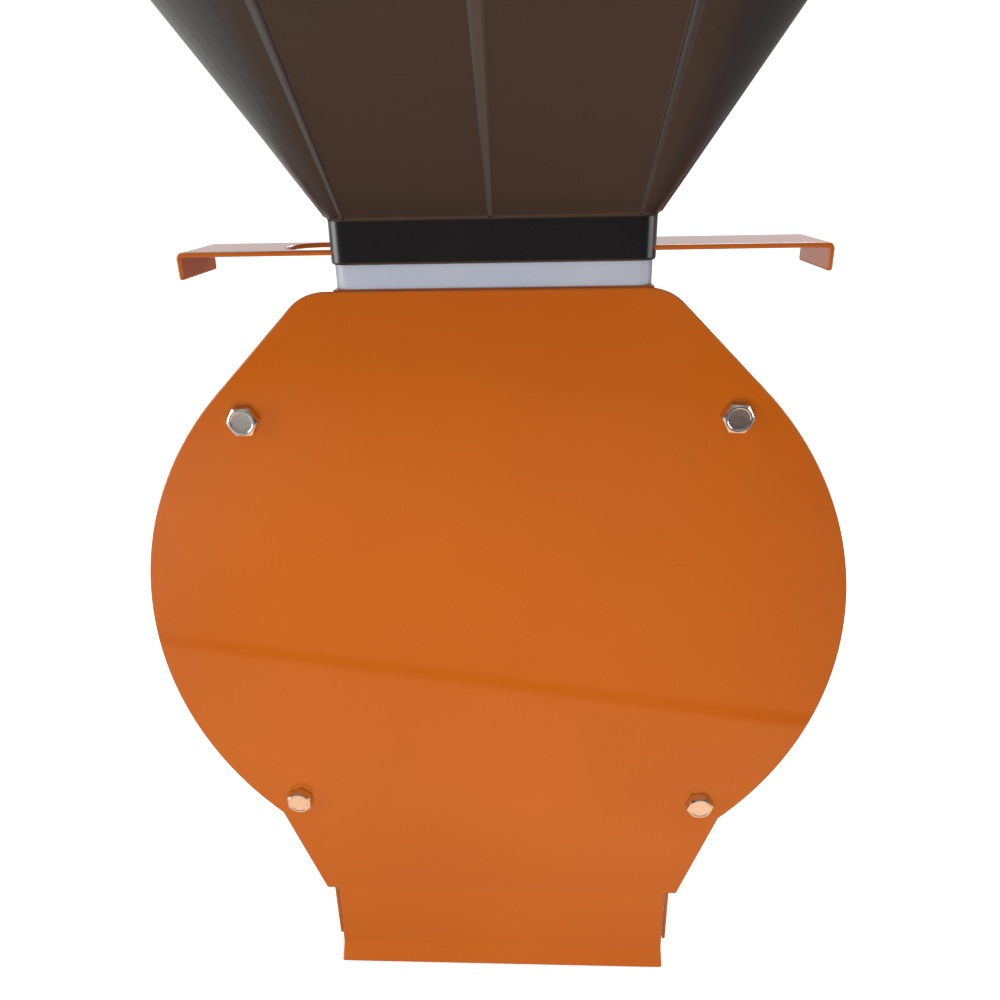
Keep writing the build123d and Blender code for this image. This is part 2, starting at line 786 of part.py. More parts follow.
with BuildPart() as stator_frame:
    with BuildSketch(front_plane(frame_front)):
        Circle(frame_radius)
        with PolarLocations(frame_radius + fin_height / 2 - 0.5, fin_count, start_angle=5):
            Rectangle(fin_height + 1.0, fin_width)
        with Locations((0, -(pad_drop + frame_radius / 2) / 2)):
            Rectangle(2 * pad_half, pad_drop - frame_radius / 2)
        with Locations((0, (box_base + frame_radius / 2) / 2)):
            Rectangle(saddle_width, box_base - frame_radius / 2)
        Circle(frame_bore, mode=Mode.SUBTRACT)
    extrude(amount=-frame_length)
    with BuildSketch(level(axis_height - pad_drop)):
        with Locations(*pad_places):
            Circle(m8_radius + touch_gap)
    extrude(amount=pad_thread, mode=Mode.SUBTRACT)
    with BuildSketch(level(axis_height)):
        with Locations((0, box_y)):
            Circle(gland_thread)
    extrude(amount=box_base, mode=Mode.SUBTRACT)

stator_frame.part.label = "stator_frame"
export_step(stator_frame.part, "parts/stator_frame.step")

with BuildPart() as stator_core:
    ring(core_front, core_length, frame_bore - touch_gap, core_bore)

stator_core.part.label = "stator_core"
export_step(stator_core.part, "parts/stator_core.step")

with BuildPart() as windings:
    for y in (core_front - winding_reach, core_front + core_length):
        ring(y, winding_reach, frame_bore - winding_inset, core_bore + winding_inset)
    fillet(windings.edges().filter_by(GeomType.CIRCLE), winding_round)

windings.part.label = "windings"
export_step(windings.part, "parts/windings.step")

with BuildPart() as rotor_core:
    ring(core_front, core_length, core_bore - rotor_gap, core_seat + touch_gap)
    ring(core_front - end_ring, end_ring, end_ring_outer, end_ring_inner)
    ring(core_front + core_length, end_ring, end_ring_outer, end_ring_inner)

rotor_core.part.label = "rotor_core"
export_step(rotor_core.part, "parts/rotor_core.step")

for y, place in ((front_bearing, "front"), (rear_bearing, "rear")):
    with BuildPart() as outer_race:
        ring(y, bearing_width, bearing_radius - touch_gap, bearing_race + 2 * run_gap)
    outer_race.part.label = f"bearing_outer_{place}"
    export_step(outer_race.part, f"parts/bearing_outer_{place}.step")
    with BuildPart() as inner_race:
        ring(y, bearing_width, bearing_race + run_gap, bearing_seat + touch_gap)
    inner_race.part.label = f"bearing_inner_{place}"
    export_step(inner_race.part, f"parts/bearing_inner_{place}.step")

with BuildPart() as rear_shield:
    ring(frame_back, shield_depth, frame_radius, bearing_radius)
    ring(frame_back - shield_spigot, shield_spigot, frame_bore - touch_gap, frame_bore - shield_web)
    ring(shield_back - shield_skin, shield_skin, bearing_radius, bearing_seat + run_gap)

rear_shield.part.label = "rear_shield"
export_step(rear_shield.part, "parts/rear_shield.step")

with BuildPart() as cooling_fan:
    ring(fan_front, fan_width, fan_hub, fan_seat + touch_gap)
    ring(fan_front, fan_sheet, fan_radius, fan_hub - 1.0)
    with BuildSketch(front_plane(fan_front)):
        with PolarLocations((fan_radius + fan_hub - 1.0) / 2, fan_blades):
            Rectangle(fan_radius - fan_hub, fan_sheet)
    extrude(amount=-fan_width)

cooling_fan.part.label = "cooling_fan"
export_step(cooling_fan.part, "parts/cooling_fan.step")

cowl_step = frame_back + cowl_clear    # the cowl is a full cup behind this and two side skirts before it

with BuildPart() as cowl_hollow:
    rods(cowl_front, cowl_back - cowl_front, cowl_radius, [(0, 0)])
    fillet(cowl_hollow.faces().sort_by(Axis.Y)[-1].edges(), cowl_round - cowl_sheet)

with BuildPart() as fan_cowl:
    rods(cowl_front, cowl_length + cowl_sheet, cowl_radius + cowl_sheet, [(0, 0)])
    fillet(fan_cowl.faces().sort_by(Axis.Y)[-1].edges(), cowl_round)
    add(cowl_hollow.part, mode=Mode.SUBTRACT)
    with BuildSketch(front_plane(cowl_front)):
        with Locations((0, cowl_radius)):
            Rectangle(saddle_width + 2 * cowl_clear, cowl_radius)
        with Locations((0, -cowl_radius)):
            Rectangle(2 * (pad_half + cowl_clear), cowl_radius + 2 * cowl_clear)
    extrude(amount=-(cowl_step - cowl_front), mode=Mode.SUBTRACT)
    for circle, count in cowl_hole_rings:
        with BuildSketch(front_plane(cowl_back)):
            with PolarLocations(circle, count):
                Circle(cowl_hole)
        extrude(amount=-cowl_sheet, mode=Mode.SUBTRACT)

fan_cowl.part.label = "fan_cowl"
export_step(fan_cowl.part, "parts/fan_cowl.step")

# ---- foot ------------------------------------------------------------------------------

foot_places = [(sx * foot_hole_x, sy * foot_hole_y) for sx in (-1, 1) for sy in (-1, 1)]
foot_top = axis_height - pad_drop

with BuildPart() as foot:
    with BuildSketch(Plane(origin=(0, 0, 0), x_dir=(1, 0, 0), z_dir=(0, -1, 0))):
        with BuildLine():
            FilletPolyline(
                (-foot_half, 0),
                (-foot_leg, 0),
                (-foot_top_half, foot_top - foot_sheet),
                (foot_top_half, foot_top - foot_sheet),
                (foot_leg, 0),
                (foot_half, 0),
                radius=foot_sheet,
            )
            offset(amount=foot_sheet, side=Side.LEFT)
        make_face()
    extrude(amount=foot_length / 2, both=True)
    with BuildSketch(level(0)):
        with Locations(*foot_places):
            Circle(foot_hole)
    extrude(amount=2 * foot_sheet, mode=Mode.SUBTRACT)
    with BuildSketch(level(foot_top - foot_sheet)):
        with Locations(*pad_places):
            Circle(m8_radius + bolt_gap)
    extrude(amount=2 * foot_sheet, mode=Mode.SUBTRACT)

foot.part.label = "foot"
export_step(foot.part, "parts/foot.step")

with BuildPart() as foot_bolts:
    with BuildSketch(level(foot_top - foot_sheet - m8_head)):
        with Locations(*pad_places):
            RegularPolygon(m8_across_flats / 2, 6, major_radius=False)
    extrude(amount=m8_head)
    with BuildSketch(level(foot_top - foot_sheet)):
        with Locations(*pad_places):
            Circle(m8_radius)
    extrude(amount=foot_sheet + pad_bolt_reach)

foot_bolts.part.label = "foot_bolts"
export_step(foot_bolts.part, "parts/foot_bolts.step")

# ---- switch box --------------------------------------------------------------------------

gland_z = box_bottom + box_tall / 2
gland_plane = Plane(origin=(box_width / 2, box_y, gland_z), x_dir=(0, 1, 0), z_dir=(1, 0, 0))
button_places = [(-button_spread, box_y), (button_spread, box_y)]
lid_screw_places = [
    (sx * (box_width / 2 - box_round), box_y + sy * (box_depth / 2 - box_round))
    for sx in (-1, 1)
    for sy in (-1, 1)
]

with BuildPart() as switch_box:
    with BuildSketch(level(box_bottom)):
        with Locations((0, box_y)):
            RectangleRounded(box_width, box_depth, box_round)
    extrude(amount=box_tall)
    with BuildSketch(level(box_bottom + box_wall)):
        with Locations((0, box_y)):
            RectangleRounded(box_width - 2 * box_wall, box_depth - 2 * box_wall, box_round - box_wall)
    extrude(amount=box_tall, mode=Mode.SUBTRACT)
    with BuildSketch(level(box_bottom + box_wall)):
        with Locations(*lid_screw_places):
            Circle(lid_boss)
    extrude(amount=box_tall - box_wall)
    with BuildSketch(level(box_bottom + box_tall - lid_boss_depth)):
        with Locations(*lid_screw_places):
            Circle(m4_radius + touch_gap)
    extrude(amount=lid_boss_depth, mode=Mode.SUBTRACT)
    with BuildSketch(level(box_bottom)):
        with Locations((0, box_y)):
            Circle(gland_thread)
    extrude(amount=box_wall, mode=Mode.SUBTRACT)
    with BuildSketch(gland_plane):
        Circle(gland_thread + touch_gap)
    extrude(amount=-box_wall, mode=Mode.SUBTRACT)

switch_box.part.label = "switch_box"
export_step(switch_box.part, "parts/switch_box.step")

gasket_inner_width = box_width - 4 * box_wall
gasket_inner_depth = box_depth - 4 * box_wall

with BuildPart() as box_gasket:
    with BuildSketch(level(box_bottom + box_tall)):
        with Locations((0, box_y)):
            RectangleRounded(box_width - 1, box_depth - 1, box_round)
            RectangleRounded(gasket_inner_width, gasket_inner_depth, box_round, mode=Mode.SUBTRACT)
        with Locations(*lid_screw_places):
            Circle(lid_boss + 1.0)
        with Locations(*lid_screw_places):
            Circle(m4_radius + bolt_gap, mode=Mode.SUBTRACT)
    extrude(amount=gasket_thick)

box_gasket.part.label = "box_gasket"
export_step(box_gasket.part, "parts/box_gasket.step")

with BuildPart() as box_lid:
    with BuildSketch(level(lid_base)):
        with Locations((0, box_y)):
            RectangleRounded(box_width, box_depth, box_round)
        with Locations(*button_places):
            Circle(button_radius + slide_gap, mode=Mode.SUBTRACT)
        with Locations(*lid_screw_places):
            Circle(m4_radius + bolt_gap, mode=Mode.SUBTRACT)
    extrude(amount=lid_thick)
    fillet(box_lid.faces().sort_by(Axis.Z)[-1].outer_wire().edges(), lid_round)

box_lid.part.label = "box_lid"
export_step(box_lid.part, "parts/box_lid.step")

with BuildPart() as lid_screws:
    with BuildSketch(level(lid_base + lid_thick)):
        with Locations(*lid_screw_places):
            Circle(m4_head_radius)
    extrude(amount=m4_head)
    fillet(lid_screws.faces().sort_by(Axis.Z)[-4:].edges(), m4_head / 2)
    with BuildSketch(level(lid_base - lid_screw_reach)):
        with Locations(*lid_screw_places):
            Circle(m4_radius)
    extrude(amount=lid_screw_reach + lid_thick)

lid_screws.part.label = "lid_screws"
export_step(lid_screws.part, "parts/lid_screws.step")

with BuildPart() as button_bezel:
    with BuildSketch(level(lid_base + lid_thick)):
        with Locations((0, box_y)):
            RectangleRounded(bezel_width, bezel_depth, bezel_round)
        with Locations(*button_places):
            Circle(button_radius + slide_gap, mode=Mode.SUBTRACT)
    extrude(amount=bezel_thick)

button_bezel.part.label = "button_bezel"
export_step(button_bezel.part, "parts/button_bezel.step")

button_foot = lid_base - slide_gap - button_collar

for (button_x, button_y), name in zip(button_places, ("start_button", "stop_button")):
    with BuildPart() as button:
        with BuildSketch(level(button_foot)):
            with Locations((button_x, button_y)):
                Circle(button_radius + collar_rim)
        extrude(amount=button_collar)
        with BuildSketch(level(button_foot + button_collar)):
            with Locations((button_x, button_y)):
                Circle(button_radius)
        extrude(amount=bezel_top + button_proud - button_foot - button_collar)
        fillet(button.faces().sort_by(Axis.Z)[-1].edges(), button_edge)
    button.part.label = name
    export_step(button.part, f"parts/{name}.step")

block_top = button_foot - button_travel - 2 * slide_gap

with BuildPart() as switch_block:
    with BuildSketch(level(box_bottom + box_wall)):
        with Locations((0, box_y)):
            RectangleRounded(block_width, block_depth, block_round)
            Circle(gland_thread, mode=Mode.SUBTRACT)
    extrude(amount=block_top - box_bottom - box_wall)

switch_block.part.label = "switch_block"
export_step(switch_block.part, "parts/switch_block.step")

with BuildPart() as cable_gland:
    with BuildSketch(gland_plane.offset(-box_wall - gland_inside)):
        Circle(gland_thread)
    extrude(amount=box_wall + gland_inside)
    with BuildSketch(gland_plane):
        RegularPolygon(gland_flats / 2, 6, major_radius=False)
    extrude(amount=gland_nut)
    with BuildSketch(gland_plane.offset(gland_nut)):
        Circle(gland_flats / 2 - 1)
    extrude(amount=gland_length - box_wall - gland_inside - gland_nut, taper=gland_taper)
    with BuildSketch(gland_plane.offset(-box_wall - gland_inside)):
        Circle(gland_bore)
    extrude(amount=gland_length, mode=Mode.SUBTRACT)

cable_gland.part.label = "cable_gland"
export_step(cable_gland.part, "parts/cable_gland.step")

# ---- capacitor ------------------------------------------------------------------------------

capacitor_x = -(cowl_radius + cowl_sheet + strap_sheet + capacitor_radius + capacitor_gap)
capacitor_y = core_middle - capacitor_length / 2 - capacitor_forward

with BuildPart() as capacitor:
    with BuildSketch(front_plane(capacitor_y)):
        with Locations((capacitor_x, 0)):
            Circle(capacitor_radius)
    extrude(amount=-capacitor_length)
    fillet(capacitor.edges().filter_by(GeomType.CIRCLE), capacitor_edge)

capacitor.part.label = "capacitor"
export_step(capacitor.part, "parts/capacitor.step")

strap_reach = -fin_radius - touch_gap - (capacitor_x + capacitor_radius)

with BuildPart() as capacitor_strap:
    with BuildSketch(front_plane(capacitor_y + (capacitor_length - strap_width) / 2)):
        with Locations((capacitor_x, 0)):
            Circle(capacitor_radius + strap_sheet)
        with Locations((capacitor_x + capacitor_radius + strap_reach / 2, 0)):
            Rectangle(strap_reach, 2 * strap_width)
        with Locations((capacitor_x, 0)):
            Circle(capacitor_radius + touch_gap, mode=Mode.SUBTRACT)
    extrude(amount=-strap_width)

capacitor_strap.part.label = "capacitor_strap"
export_step(capacitor_strap.part, "parts/capacitor_strap.step")
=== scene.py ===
"""Electric grain mill: looks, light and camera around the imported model.

Places and sizes are in millimetres until a mesh is made. X is to the right seen from
the front, Y runs back from the cover along the rotor's axis, Z is up.
"""
import json
from math import cos, pi, radians, sin, sqrt, tan

import bmesh
import bpy
from mathutils import Matrix, Vector


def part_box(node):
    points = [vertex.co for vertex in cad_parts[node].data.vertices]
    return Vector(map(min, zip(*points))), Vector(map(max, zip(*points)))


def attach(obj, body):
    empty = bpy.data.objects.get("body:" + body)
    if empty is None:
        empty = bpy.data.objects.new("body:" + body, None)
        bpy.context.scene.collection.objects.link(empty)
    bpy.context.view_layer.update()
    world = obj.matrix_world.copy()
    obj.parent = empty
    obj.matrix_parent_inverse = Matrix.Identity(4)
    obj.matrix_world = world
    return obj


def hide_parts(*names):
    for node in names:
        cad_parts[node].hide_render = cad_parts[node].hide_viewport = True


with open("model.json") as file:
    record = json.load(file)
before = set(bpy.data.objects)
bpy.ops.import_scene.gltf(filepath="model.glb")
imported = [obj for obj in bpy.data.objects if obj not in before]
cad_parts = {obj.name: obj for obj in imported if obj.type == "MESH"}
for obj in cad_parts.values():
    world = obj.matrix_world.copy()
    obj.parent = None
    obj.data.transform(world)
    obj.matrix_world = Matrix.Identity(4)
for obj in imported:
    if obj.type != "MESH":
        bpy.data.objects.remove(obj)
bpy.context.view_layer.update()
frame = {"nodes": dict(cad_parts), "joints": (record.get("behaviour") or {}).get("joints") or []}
MM = 0.001
nodes = frame["nodes"]
joints = {joint["name"]: joint for joint in frame["joints"]}


def edge_of(node, axis, side):
    """Lowest (side 0) or highest (side 1) place of a node along X, Y or Z."""
    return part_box(node)[side]["XYZ".index(axis)] / MM


def middle_of(node, axis):
    return (edge_of(node, axis, 0) + edge_of(node, axis, 1)) / 2


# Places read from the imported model
axis_z = joints["rotor_spin"]["pos_m"][2] / MM
plate_radius = edge_of("rear_plate", "X", 1)
cover_back = edge_of("drum_shell", "Y", 0)
inlet_x = middle_of("spacer_frame", "X")
inlet_y = middle_of("spacer_frame", "Y")
neck_base = edge_of("hopper", "Z", 0)
hopper_top = edge_of("hopper", "Z", 1)
gate_left = edge_of("slide_gate", "X", 0)
gate_right = edge_of("slide_gate", "X", 1)
gate_top = edge_of("slide_gate", "Z", 1)
gate_depth = edge_of("slide_gate", "Y", 1) - edge_of("slide_gate", "Y", 0)

# Front cover
cover_sheet = 2.0
cover_front = cover_back - cover_sheet
top_edge = 173.5
shoulder_round = 24.0
ledge_half = 107.0
ledge_drop = 187.0
ledge_corner = 1.2
tongue_half = 99.7
tongue_lean = 4.0
fold_drop = 229.0
lip_length = 10.4
lip_angle = 45.0
fold_round = 2.5
bolt_square = 115.0
bolt_hole = 4.5
bolt_places = [(x, z) for x in (-bolt_square, bolt_square) for z in (-bolt_square, bolt_square)]
sheet_edge = 0.95

# Cover bolts
bolt_flats = 13.0
bolt_head = 5.3
bolt_shank = 3.9
bolt_length = 24.0
shank_chamfer = 0.9
washer_face = 0.6
bearing_edge = (0.12, 0.15)
crown_share = 0.93
crown_slope = 30.0
bolt_turns = [28.0, 2.0, 9.0, -3.0]

# The hollow in a bolt head: share of half the flats, and depth
head_hollow = [(0.82, 0.0), (0.76, 0.22), (0.3, 0.3)]

# Slide gate
gate_sheet = 2.2
gate_tab = 12.0
gate_round = 3.0
gate_corner = 1.5
gate_window = 90.0
gate_window_start = 42.7
gate_bar = 5.0
gate_window_round = 14.0
gate_slack = 0.6

# Hopper
neck_width = 143.0
neck_depth = 48.2
neck_round = 7.0
neck_edge = 1.2
neck_wall = 3.0
neck_floor = 3.7
neck_height = 18.9
funnel_height = 136.5
funnel_blend = 1.0
mouth_side = 304.0
mouth_round = 70.0
hopper_wall = 4.0
rim_width = 9.0
rim_sheet = 4.0
rim_skirt = 10.0
rim_start = 12.0
throat_width = 80.0
throat_depth = 36.0
throat_round = 1.0
least_round = 0.8
neck_top = neck_base + neck_height
funnel_top = neck_top + funnel_height
screw_right = 55.0
screw_back = 12.0
screw_hole = 3.0
screw_head = 5.2
screw_sink = 2.8
screw_places = [(x, y) for x in (-screw_right, screw_right) for y in (-screw_back, screw_back)]

# A bead runs up each end of the hopper's sides and a rib up their middles. Both get wider from the neck
# to the mouth, and neither takes more than its limit, a share of half a side. They start partway through
# the bend between neck and funnel.
rib_stand = 1.5
rib_start = 0.375
bead_at_neck = 2.4
bead_gain = 4.6
rib_at_neck = 2.6
rib_gain = 6.0
bead_limit = 0.5
rib_limit = 0.4

# Across a bead from the corner inwards, and across a rib: share of the width, share of the height
bead_profile = [(0.0, 0.0), (0.10, 0.14), (0.50, 0.90), (0.62, 1.0), (0.74, 0.70), (0.84, -0.20), (1.0, 0.0)]
rib_profile = [(-0.5, 0.0), (-0.36, 0.85), (-0.26, 1.0), (0.26, 1.0), (0.36, 0.85), (0.5, 0.0)]

# Softened edges of the CAD nodes: welding distance in metres, angles in degrees
weld_reach = 0.00001
flat_angle = 0.5
edge_angle = 35.0
smooth_angle = 45.0

# Camera: its place from the middle of the cover's face, and its turns in degrees
sensor_width = 36.0
lens_length = 28.945
camera_right = 21.98
camera_ahead = 360.27
camera_up = 225.81
camera_pan = 2.699
camera_tilt = -22.916
camera_roll = -1.212

# What the gloss reflects: a bench top in front of the mill and the room past its edge
bench_edge = 405.0
bench_far = 560.0
bench_skew = 0.2
bench_trim = 16.0
bench_bounce = 0.45
left_reach = 300.0
right_reach = 260.0
shade_colour = (0.66, 0.38, 0.25)
bench_colour = (1.25, 0.72, 0.44)
trim_colour = (0.35, 0.15, 0.06)
room_colour = (1.15, 0.58, 0.30)
far_colour = (0.05, 0.05, 0.055)
left_colour = (0.95, 0.94, 0.90)
right_colour = (0.34, 0.30, 0.30)

# How brightly the floor glows to the eye
floor_glow = 0.65


# ---- camera, light and stage -----------------------------------------------------------

def make_camera():
    """A phone's wide lens, above the cover's middle and a little to the right."""
    data = bpy.data.cameras.new("camera")
    data.sensor_width = sensor_width
    data.lens = lens_length
    data.clip_start = 0.01
    camera = bpy.data.objects.new("camera", data)
    bpy.context.scene.collection.objects.link(camera)
    place = Vector((camera_right, cover_front - camera_ahead, axis_z + camera_up)) * MM
    turn = (
        Matrix.Rotation(radians(90), 4, "X")
        @ Matrix.Rotation(radians(camera_pan), 4, "Y")
        @ Matrix.Rotation(radians(camera_tilt), 4, "X")
        @ Matrix.Rotation(radians(camera_roll), 4, "Z")
    )
    camera.matrix_world = Matrix.Translation(place) @ turn
    bpy.context.scene.camera = camera


def soft_box(name, place, target, size, power, lights=("diffuse", "glossy")):
    """A rectangular soft light at place that faces target, its power in watts.

    lights names the kinds of ray that see it.
    """
    data = bpy.data.lights.new(name, "AREA")
    data.shape = "RECTANGLE"
    data.size = size[0] * MM
    data.size_y = size[1] * MM
    data.energy = power
    light = bpy.data.objects.new(name, data)
    light.visible_camera = False
    light.visible_diffuse = "diffuse" in lights
    light.visible_glossy = "glossy" in lights
    bpy.context.scene.collection.objects.link(light)
    start = Vector(place) * MM
    look = (Vector(target) * MM - start).to_track_quat("-Z", "Y")
    light.matrix_world = Matrix.Translation(start) @ look.to_matrix().to_4x4()


# ---- shader maths ----------------------------------------------------------------------

class Value:
    """A socket that varies over a surface. Sums and products of it add Math nodes."""

    def __init__(self, finish, socket):
        self.finish = finish
        self.socket = socket

    def _math(self, operation, first, second):
        return self.finish.node("ShaderNodeMath", {"operation": operation}, {0: first, 1: second})["Value"]

    def __add__(self, other):
        return self._math("ADD", self, other)

    def __radd__(self, other):
        return self._math("ADD", other, self)

    def __sub__(self, other):
        return self._math("SUBTRACT", self, other)

    def __rsub__(self, other):
        return self._math("SUBTRACT", other, self)

    def __mul__(self, other):
        return self._math("MULTIPLY", self, other)

    def __rmul__(self, other):
        return self._math("MULTIPLY", other, self)

    def above(self, limit, softness):
        """0 below limit, rising to 1 over softness."""
        sockets = {"Value": self, "From Min": limit, "From Max": limit + softness}
        return self.finish.node("ShaderNodeMapRange", {"clamp": True}, sockets)["Result"]


class Outputs:
    """The outputs of a node, by name or number, as Values."""

    def __init__(self, finish, node):
        self.finish = finish
        self.node = node

    def __getitem__(self, key):
        return Value(self.finish, self.node.outputs[key])


class Finish:
    """A node tree and the nodes that make it. Every node comes from its node method."""

    def __init__(self, tree):
        self.tree = tree

    def node(self, kind, settings, sockets):
        """A node of that type: its settings first, then the values or links of its sockets."""
        node = self.tree.nodes.new(kind)
        for key, value in settings.items():
            if key == "stops":
                self.set_stops(node.color_ramp.elements, value)
            else:
                setattr(node, key, value)
        self.put(node, sockets)
        return Outputs(self, node)

    def set_stops(self, ramp, stops):
        """Places the colours of a ramp."""
        while len(ramp) < len(stops):
            ramp.new(0.5)
        for stop, (position, colour) in zip(ramp, stops):
            stop.position = position
            stop.color = (*colour, 1.0)

    def put(self, node, sockets):
        """Sets or links a node's input sockets."""
        for key, value in sockets.items():
            socket = node.inputs[key]
            if isinstance(value, Value):
                self.tree.links.new(value.socket, socket)
            elif socket.type == "RGBA":
                socket.default_value = (*value, 1.0)
            else:
                socket.default_value = value

    def mix(self, mask, first, second):
        """Colour that goes from first to second as mask goes from 0 to 1.

        The node's colour sockets go by number, because its other sockets have the same names.
        """
        return self.node("ShaderNodeMix", {"data_type": "RGBA"}, {0: mask, 6: first, 7: second})[2]


class Surface(Finish):
    """A material with a Principled shader and the place on the piece to vary it by."""

    def __init__(self, name, **constants):
        self.material = bpy.data.materials.new(name)
        self.material.use_nodes = True
        super().__init__(self.material.node_tree)
        self.shader = self.tree.nodes["Principled BSDF"]
        self.put(self.shader, {key.replace("_", " "): value for key, value in constants.items()})
        self.place = self.node("ShaderNodeTexCoord", {}, {})["Object"]

    def stretched(self, x, y, z):
        """The place on the piece, scaled along each axis."""
        settings = {"operation": "MULTIPLY"}
        return self.node("ShaderNodeVectorMath", settings, {0: self.place, 1: (x, y, z)})["Vector"]

    def noise(self, scale, detail=2.0, rough=0.5, place=None, twist=0.0):
        """Noise from 0 to 1, with that many cells to the metre."""
        sockets = {
            "Vector": place or self.place,
            "Scale": scale,
            "Detail": detail,
            "Roughness": rough,
            "Distortion": twist,
        }
        return self.node("ShaderNodeTexNoise", {}, sockets)["Fac"]

    def specks(self, scale, size):
        """1 in small scattered spots, that many to the metre, of that share of their spacing."""
        sockets = {"Vector": self.place, "Scale": scale}
        distance = self.node("ShaderNodeTexVoronoi", {}, sockets)["Distance"]
        return 1 - distance.above(size, size * 0.5)

    def bump(self, height, depth, under=None):
        """Relief of that depth in metres, over another relief if one is given."""
        sockets = {"Height": height, "Distance": depth, "Strength": 1.0}
        if under:
            sockets["Normal"] = under
        return self.node("ShaderNodeBump", {}, sockets)["Normal"]

    def wear(self, colour, rough, relief, **more):
        """Links what varies into the shader and returns the material."""
        sockets = {"Base Color": colour, "Roughness": rough, "Normal": relief}
        sockets.update({key.replace("_", " "): value for key, value in more.items()})
        self.put(self.shader, sockets)
        return self.material


# ---- finishes --------------------------------------------------------------------------

def powder_coat():
    """Gloss orange powder coat: slow waves, orange peel that is heavier on the left, a few specks."""
    s = Surface("orange_powder_coat", IOR=1.5)
    tone = s.noise(6.0, 3.0)
    colour = s.mix(tone.above(0.3, 0.4), (0.545, 0.118, 0.0055), (0.600, 0.136, 0.0080))
    dust = s.specks(90.0, 0.03) * s.noise(23.0, 1.0).above(0.55, 0.1)
    colour = s.mix(dust * 0.6, colour, (0.17, 0.05, 0.012))
    waves = s.bump(s.noise(40.0, 1.0), 0.000012)
    left = 1 - s.node("ShaderNodeSeparateXYZ", {}, {"Vector": s.place})["X"].above(-0.135, 0.09)
    peel = s.bump(s.noise(300.0, 2.0, 0.55) * (0.2 + left * 0.8), 0.000010, waves)
    haze = s.noise(19.0, 4.0, 0.6) * 0.04 + 0.045
    return s.wear(colour, haze, peel)


def hopper_plastic(name, dark, light):
    """Semi-gloss moulded plastic with flow marks, scuffs and a fine grain."""
    s = Surface(name, IOR=1.6)
    flow = s.noise(9.0, 4.0, 0.6, s.stretched(1.0, 1.0, 0.35), 0.6)
    colour = s.mix(flow, dark, light)
    scuffs = s.noise(60.0, 6.0, 0.72, s.stretched(1.0, 1.0, 0.2)).above(0.62, 0.2)
    colour = s.mix(scuffs * 0.3, colour, (0.040, 0.038, 0.037))
    ripple = s.bump(s.noise(60.0, 2.0), 0.00012)
    grain = s.bump(s.noise(1400.0, 2.0), 0.000012, ripple)
    funnel = s.node("ShaderNodeSeparateXYZ", {}, {"Vector": s.place})["Z"].above(neck_top * MM, 0.004)
    rough = 0.22 + funnel * 0.12 + s.noise(28.0, 4.0) * 0.12 + scuffs * 0.1
    return s.wear(colour, rough, grain)


def spacer_plastic():
    """Cool white plastic, a little translucent, with faint saw marks along its sides."""
    s = Surface(
        "white_spacer_plastic",
        IOR=1.49,
        Subsurface_Weight=0.3,
        Subsurface_Scale=0.005,
        Subsurface_Radius=(1.0, 1.0, 1.0),
    )
    cloud = s.noise(26.0, 3.0)
    colour = s.mix(cloud, (0.47, 0.54, 0.66), (0.58, 0.62, 0.70))
    marks = s.bump(s.noise(1.0, 2.0, 0.5, s.stretched(50.0, 50.0, 1300.0)), 0.00003)
    return s.wear(colour, 0.32 + cloud * 0.12, marks)


def zinc_plate():
    """Bright zinc over forged steel: cloudy, with small pits."""
    s = Surface("zinc_plate", Metallic=1.0)
    cloud = s.noise(420.0, 4.0, 0.6)
    colour = s.mix(cloud, (0.66, 0.70, 0.70), (0.84, 0.88, 0.88))
    pits = s.bump(s.noise(800.0, 3.0, 0.6), 0.00001)
    return s.wear(colour, 0.08 + cloud * 0.14, pits)


def turned_steel(name, dark, light, rough):
    """Machined steel with fine lathe lines across the rotor's axis."""
    s = Surface(name, Metallic=1.0)
    lines = s.noise(1.0, 3.0, 0.6, s.stretched(90.0, 1800.0, 90.0))
    return s.wear(s.mix(lines, dark, light), rough + lines * 0.12, s.bump(lines, 0.00002))


def punched_sheet():
    """Punched steel sheet, dulled by a haze of meal dust."""
    s = Surface("punched_sheet", Metallic=1.0)
    haze = s.noise(80.0, 5.0, 0.6)
    colour = s.mix(haze.above(0.45, 0.3), (0.38, 0.38, 0.37), (0.55, 0.53, 0.48))
    return s.wear(colour, 0.34 + haze * 0.2, s.bump(haze, 0.00003))


def cast_alloy():
    """Die-cast aluminium under thin grey paint: sandy skin and soft clouds."""
    s = Surface("cast_alloy_grey", Metallic=0.2)
    cloud = s.noise(18.0, 5.0, 0.6)
    colour = s.mix(cloud, (0.17, 0.18, 0.19), (0.25, 0.26, 0.27))
    sand = s.bump(s.noise(700.0, 3.0, 0.6), 0.00008)
    return s.wear(colour, 0.42 + cloud * 0.15, sand)


def laminated_iron():
    """Stacked electrical sheets: fine lines across the rotor's axis."""
    s = Surface("laminated_iron", Metallic=0.9)
    lines = s.noise(1.0, 1.0, 0.5, s.stretched(4.0, 2000.0, 4.0))
    colour = s.mix(lines, (0.10, 0.10, 0.11), (0.22, 0.22, 0.23))
    return s.wear(colour, 0.5 + lines * 0.1, s.bump(lines, 0.0001))


def varnished_copper():
    """Enamelled copper wire, wound round the rings."""
    s = Surface("varnished_copper", Metallic=0.8)
    wire = s.noise(1.0, 2.0, 0.5, s.stretched(500.0, 90.0, 500.0))
    colour = s.mix(wire, (0.30, 0.10, 0.03), (0.62, 0.26, 0.10))
    return s.wear(colour, 0.3 + wire * 0.15, s.bump(wire, 0.0003))


def satin_paint():
    """Satin dark grey paint on drawn sheet."""
    s = Surface("satin_grey_paint", IOR=1.5)
    cloud = s.noise(24.0, 4.0)
    colour = s.mix(cloud, (0.045, 0.048, 0.052), (0.075, 0.078, 0.084))
    return s.wear(colour, 0.3 + cloud * 0.1, s.bump(s.noise(420.0, 2.0), 0.00003))


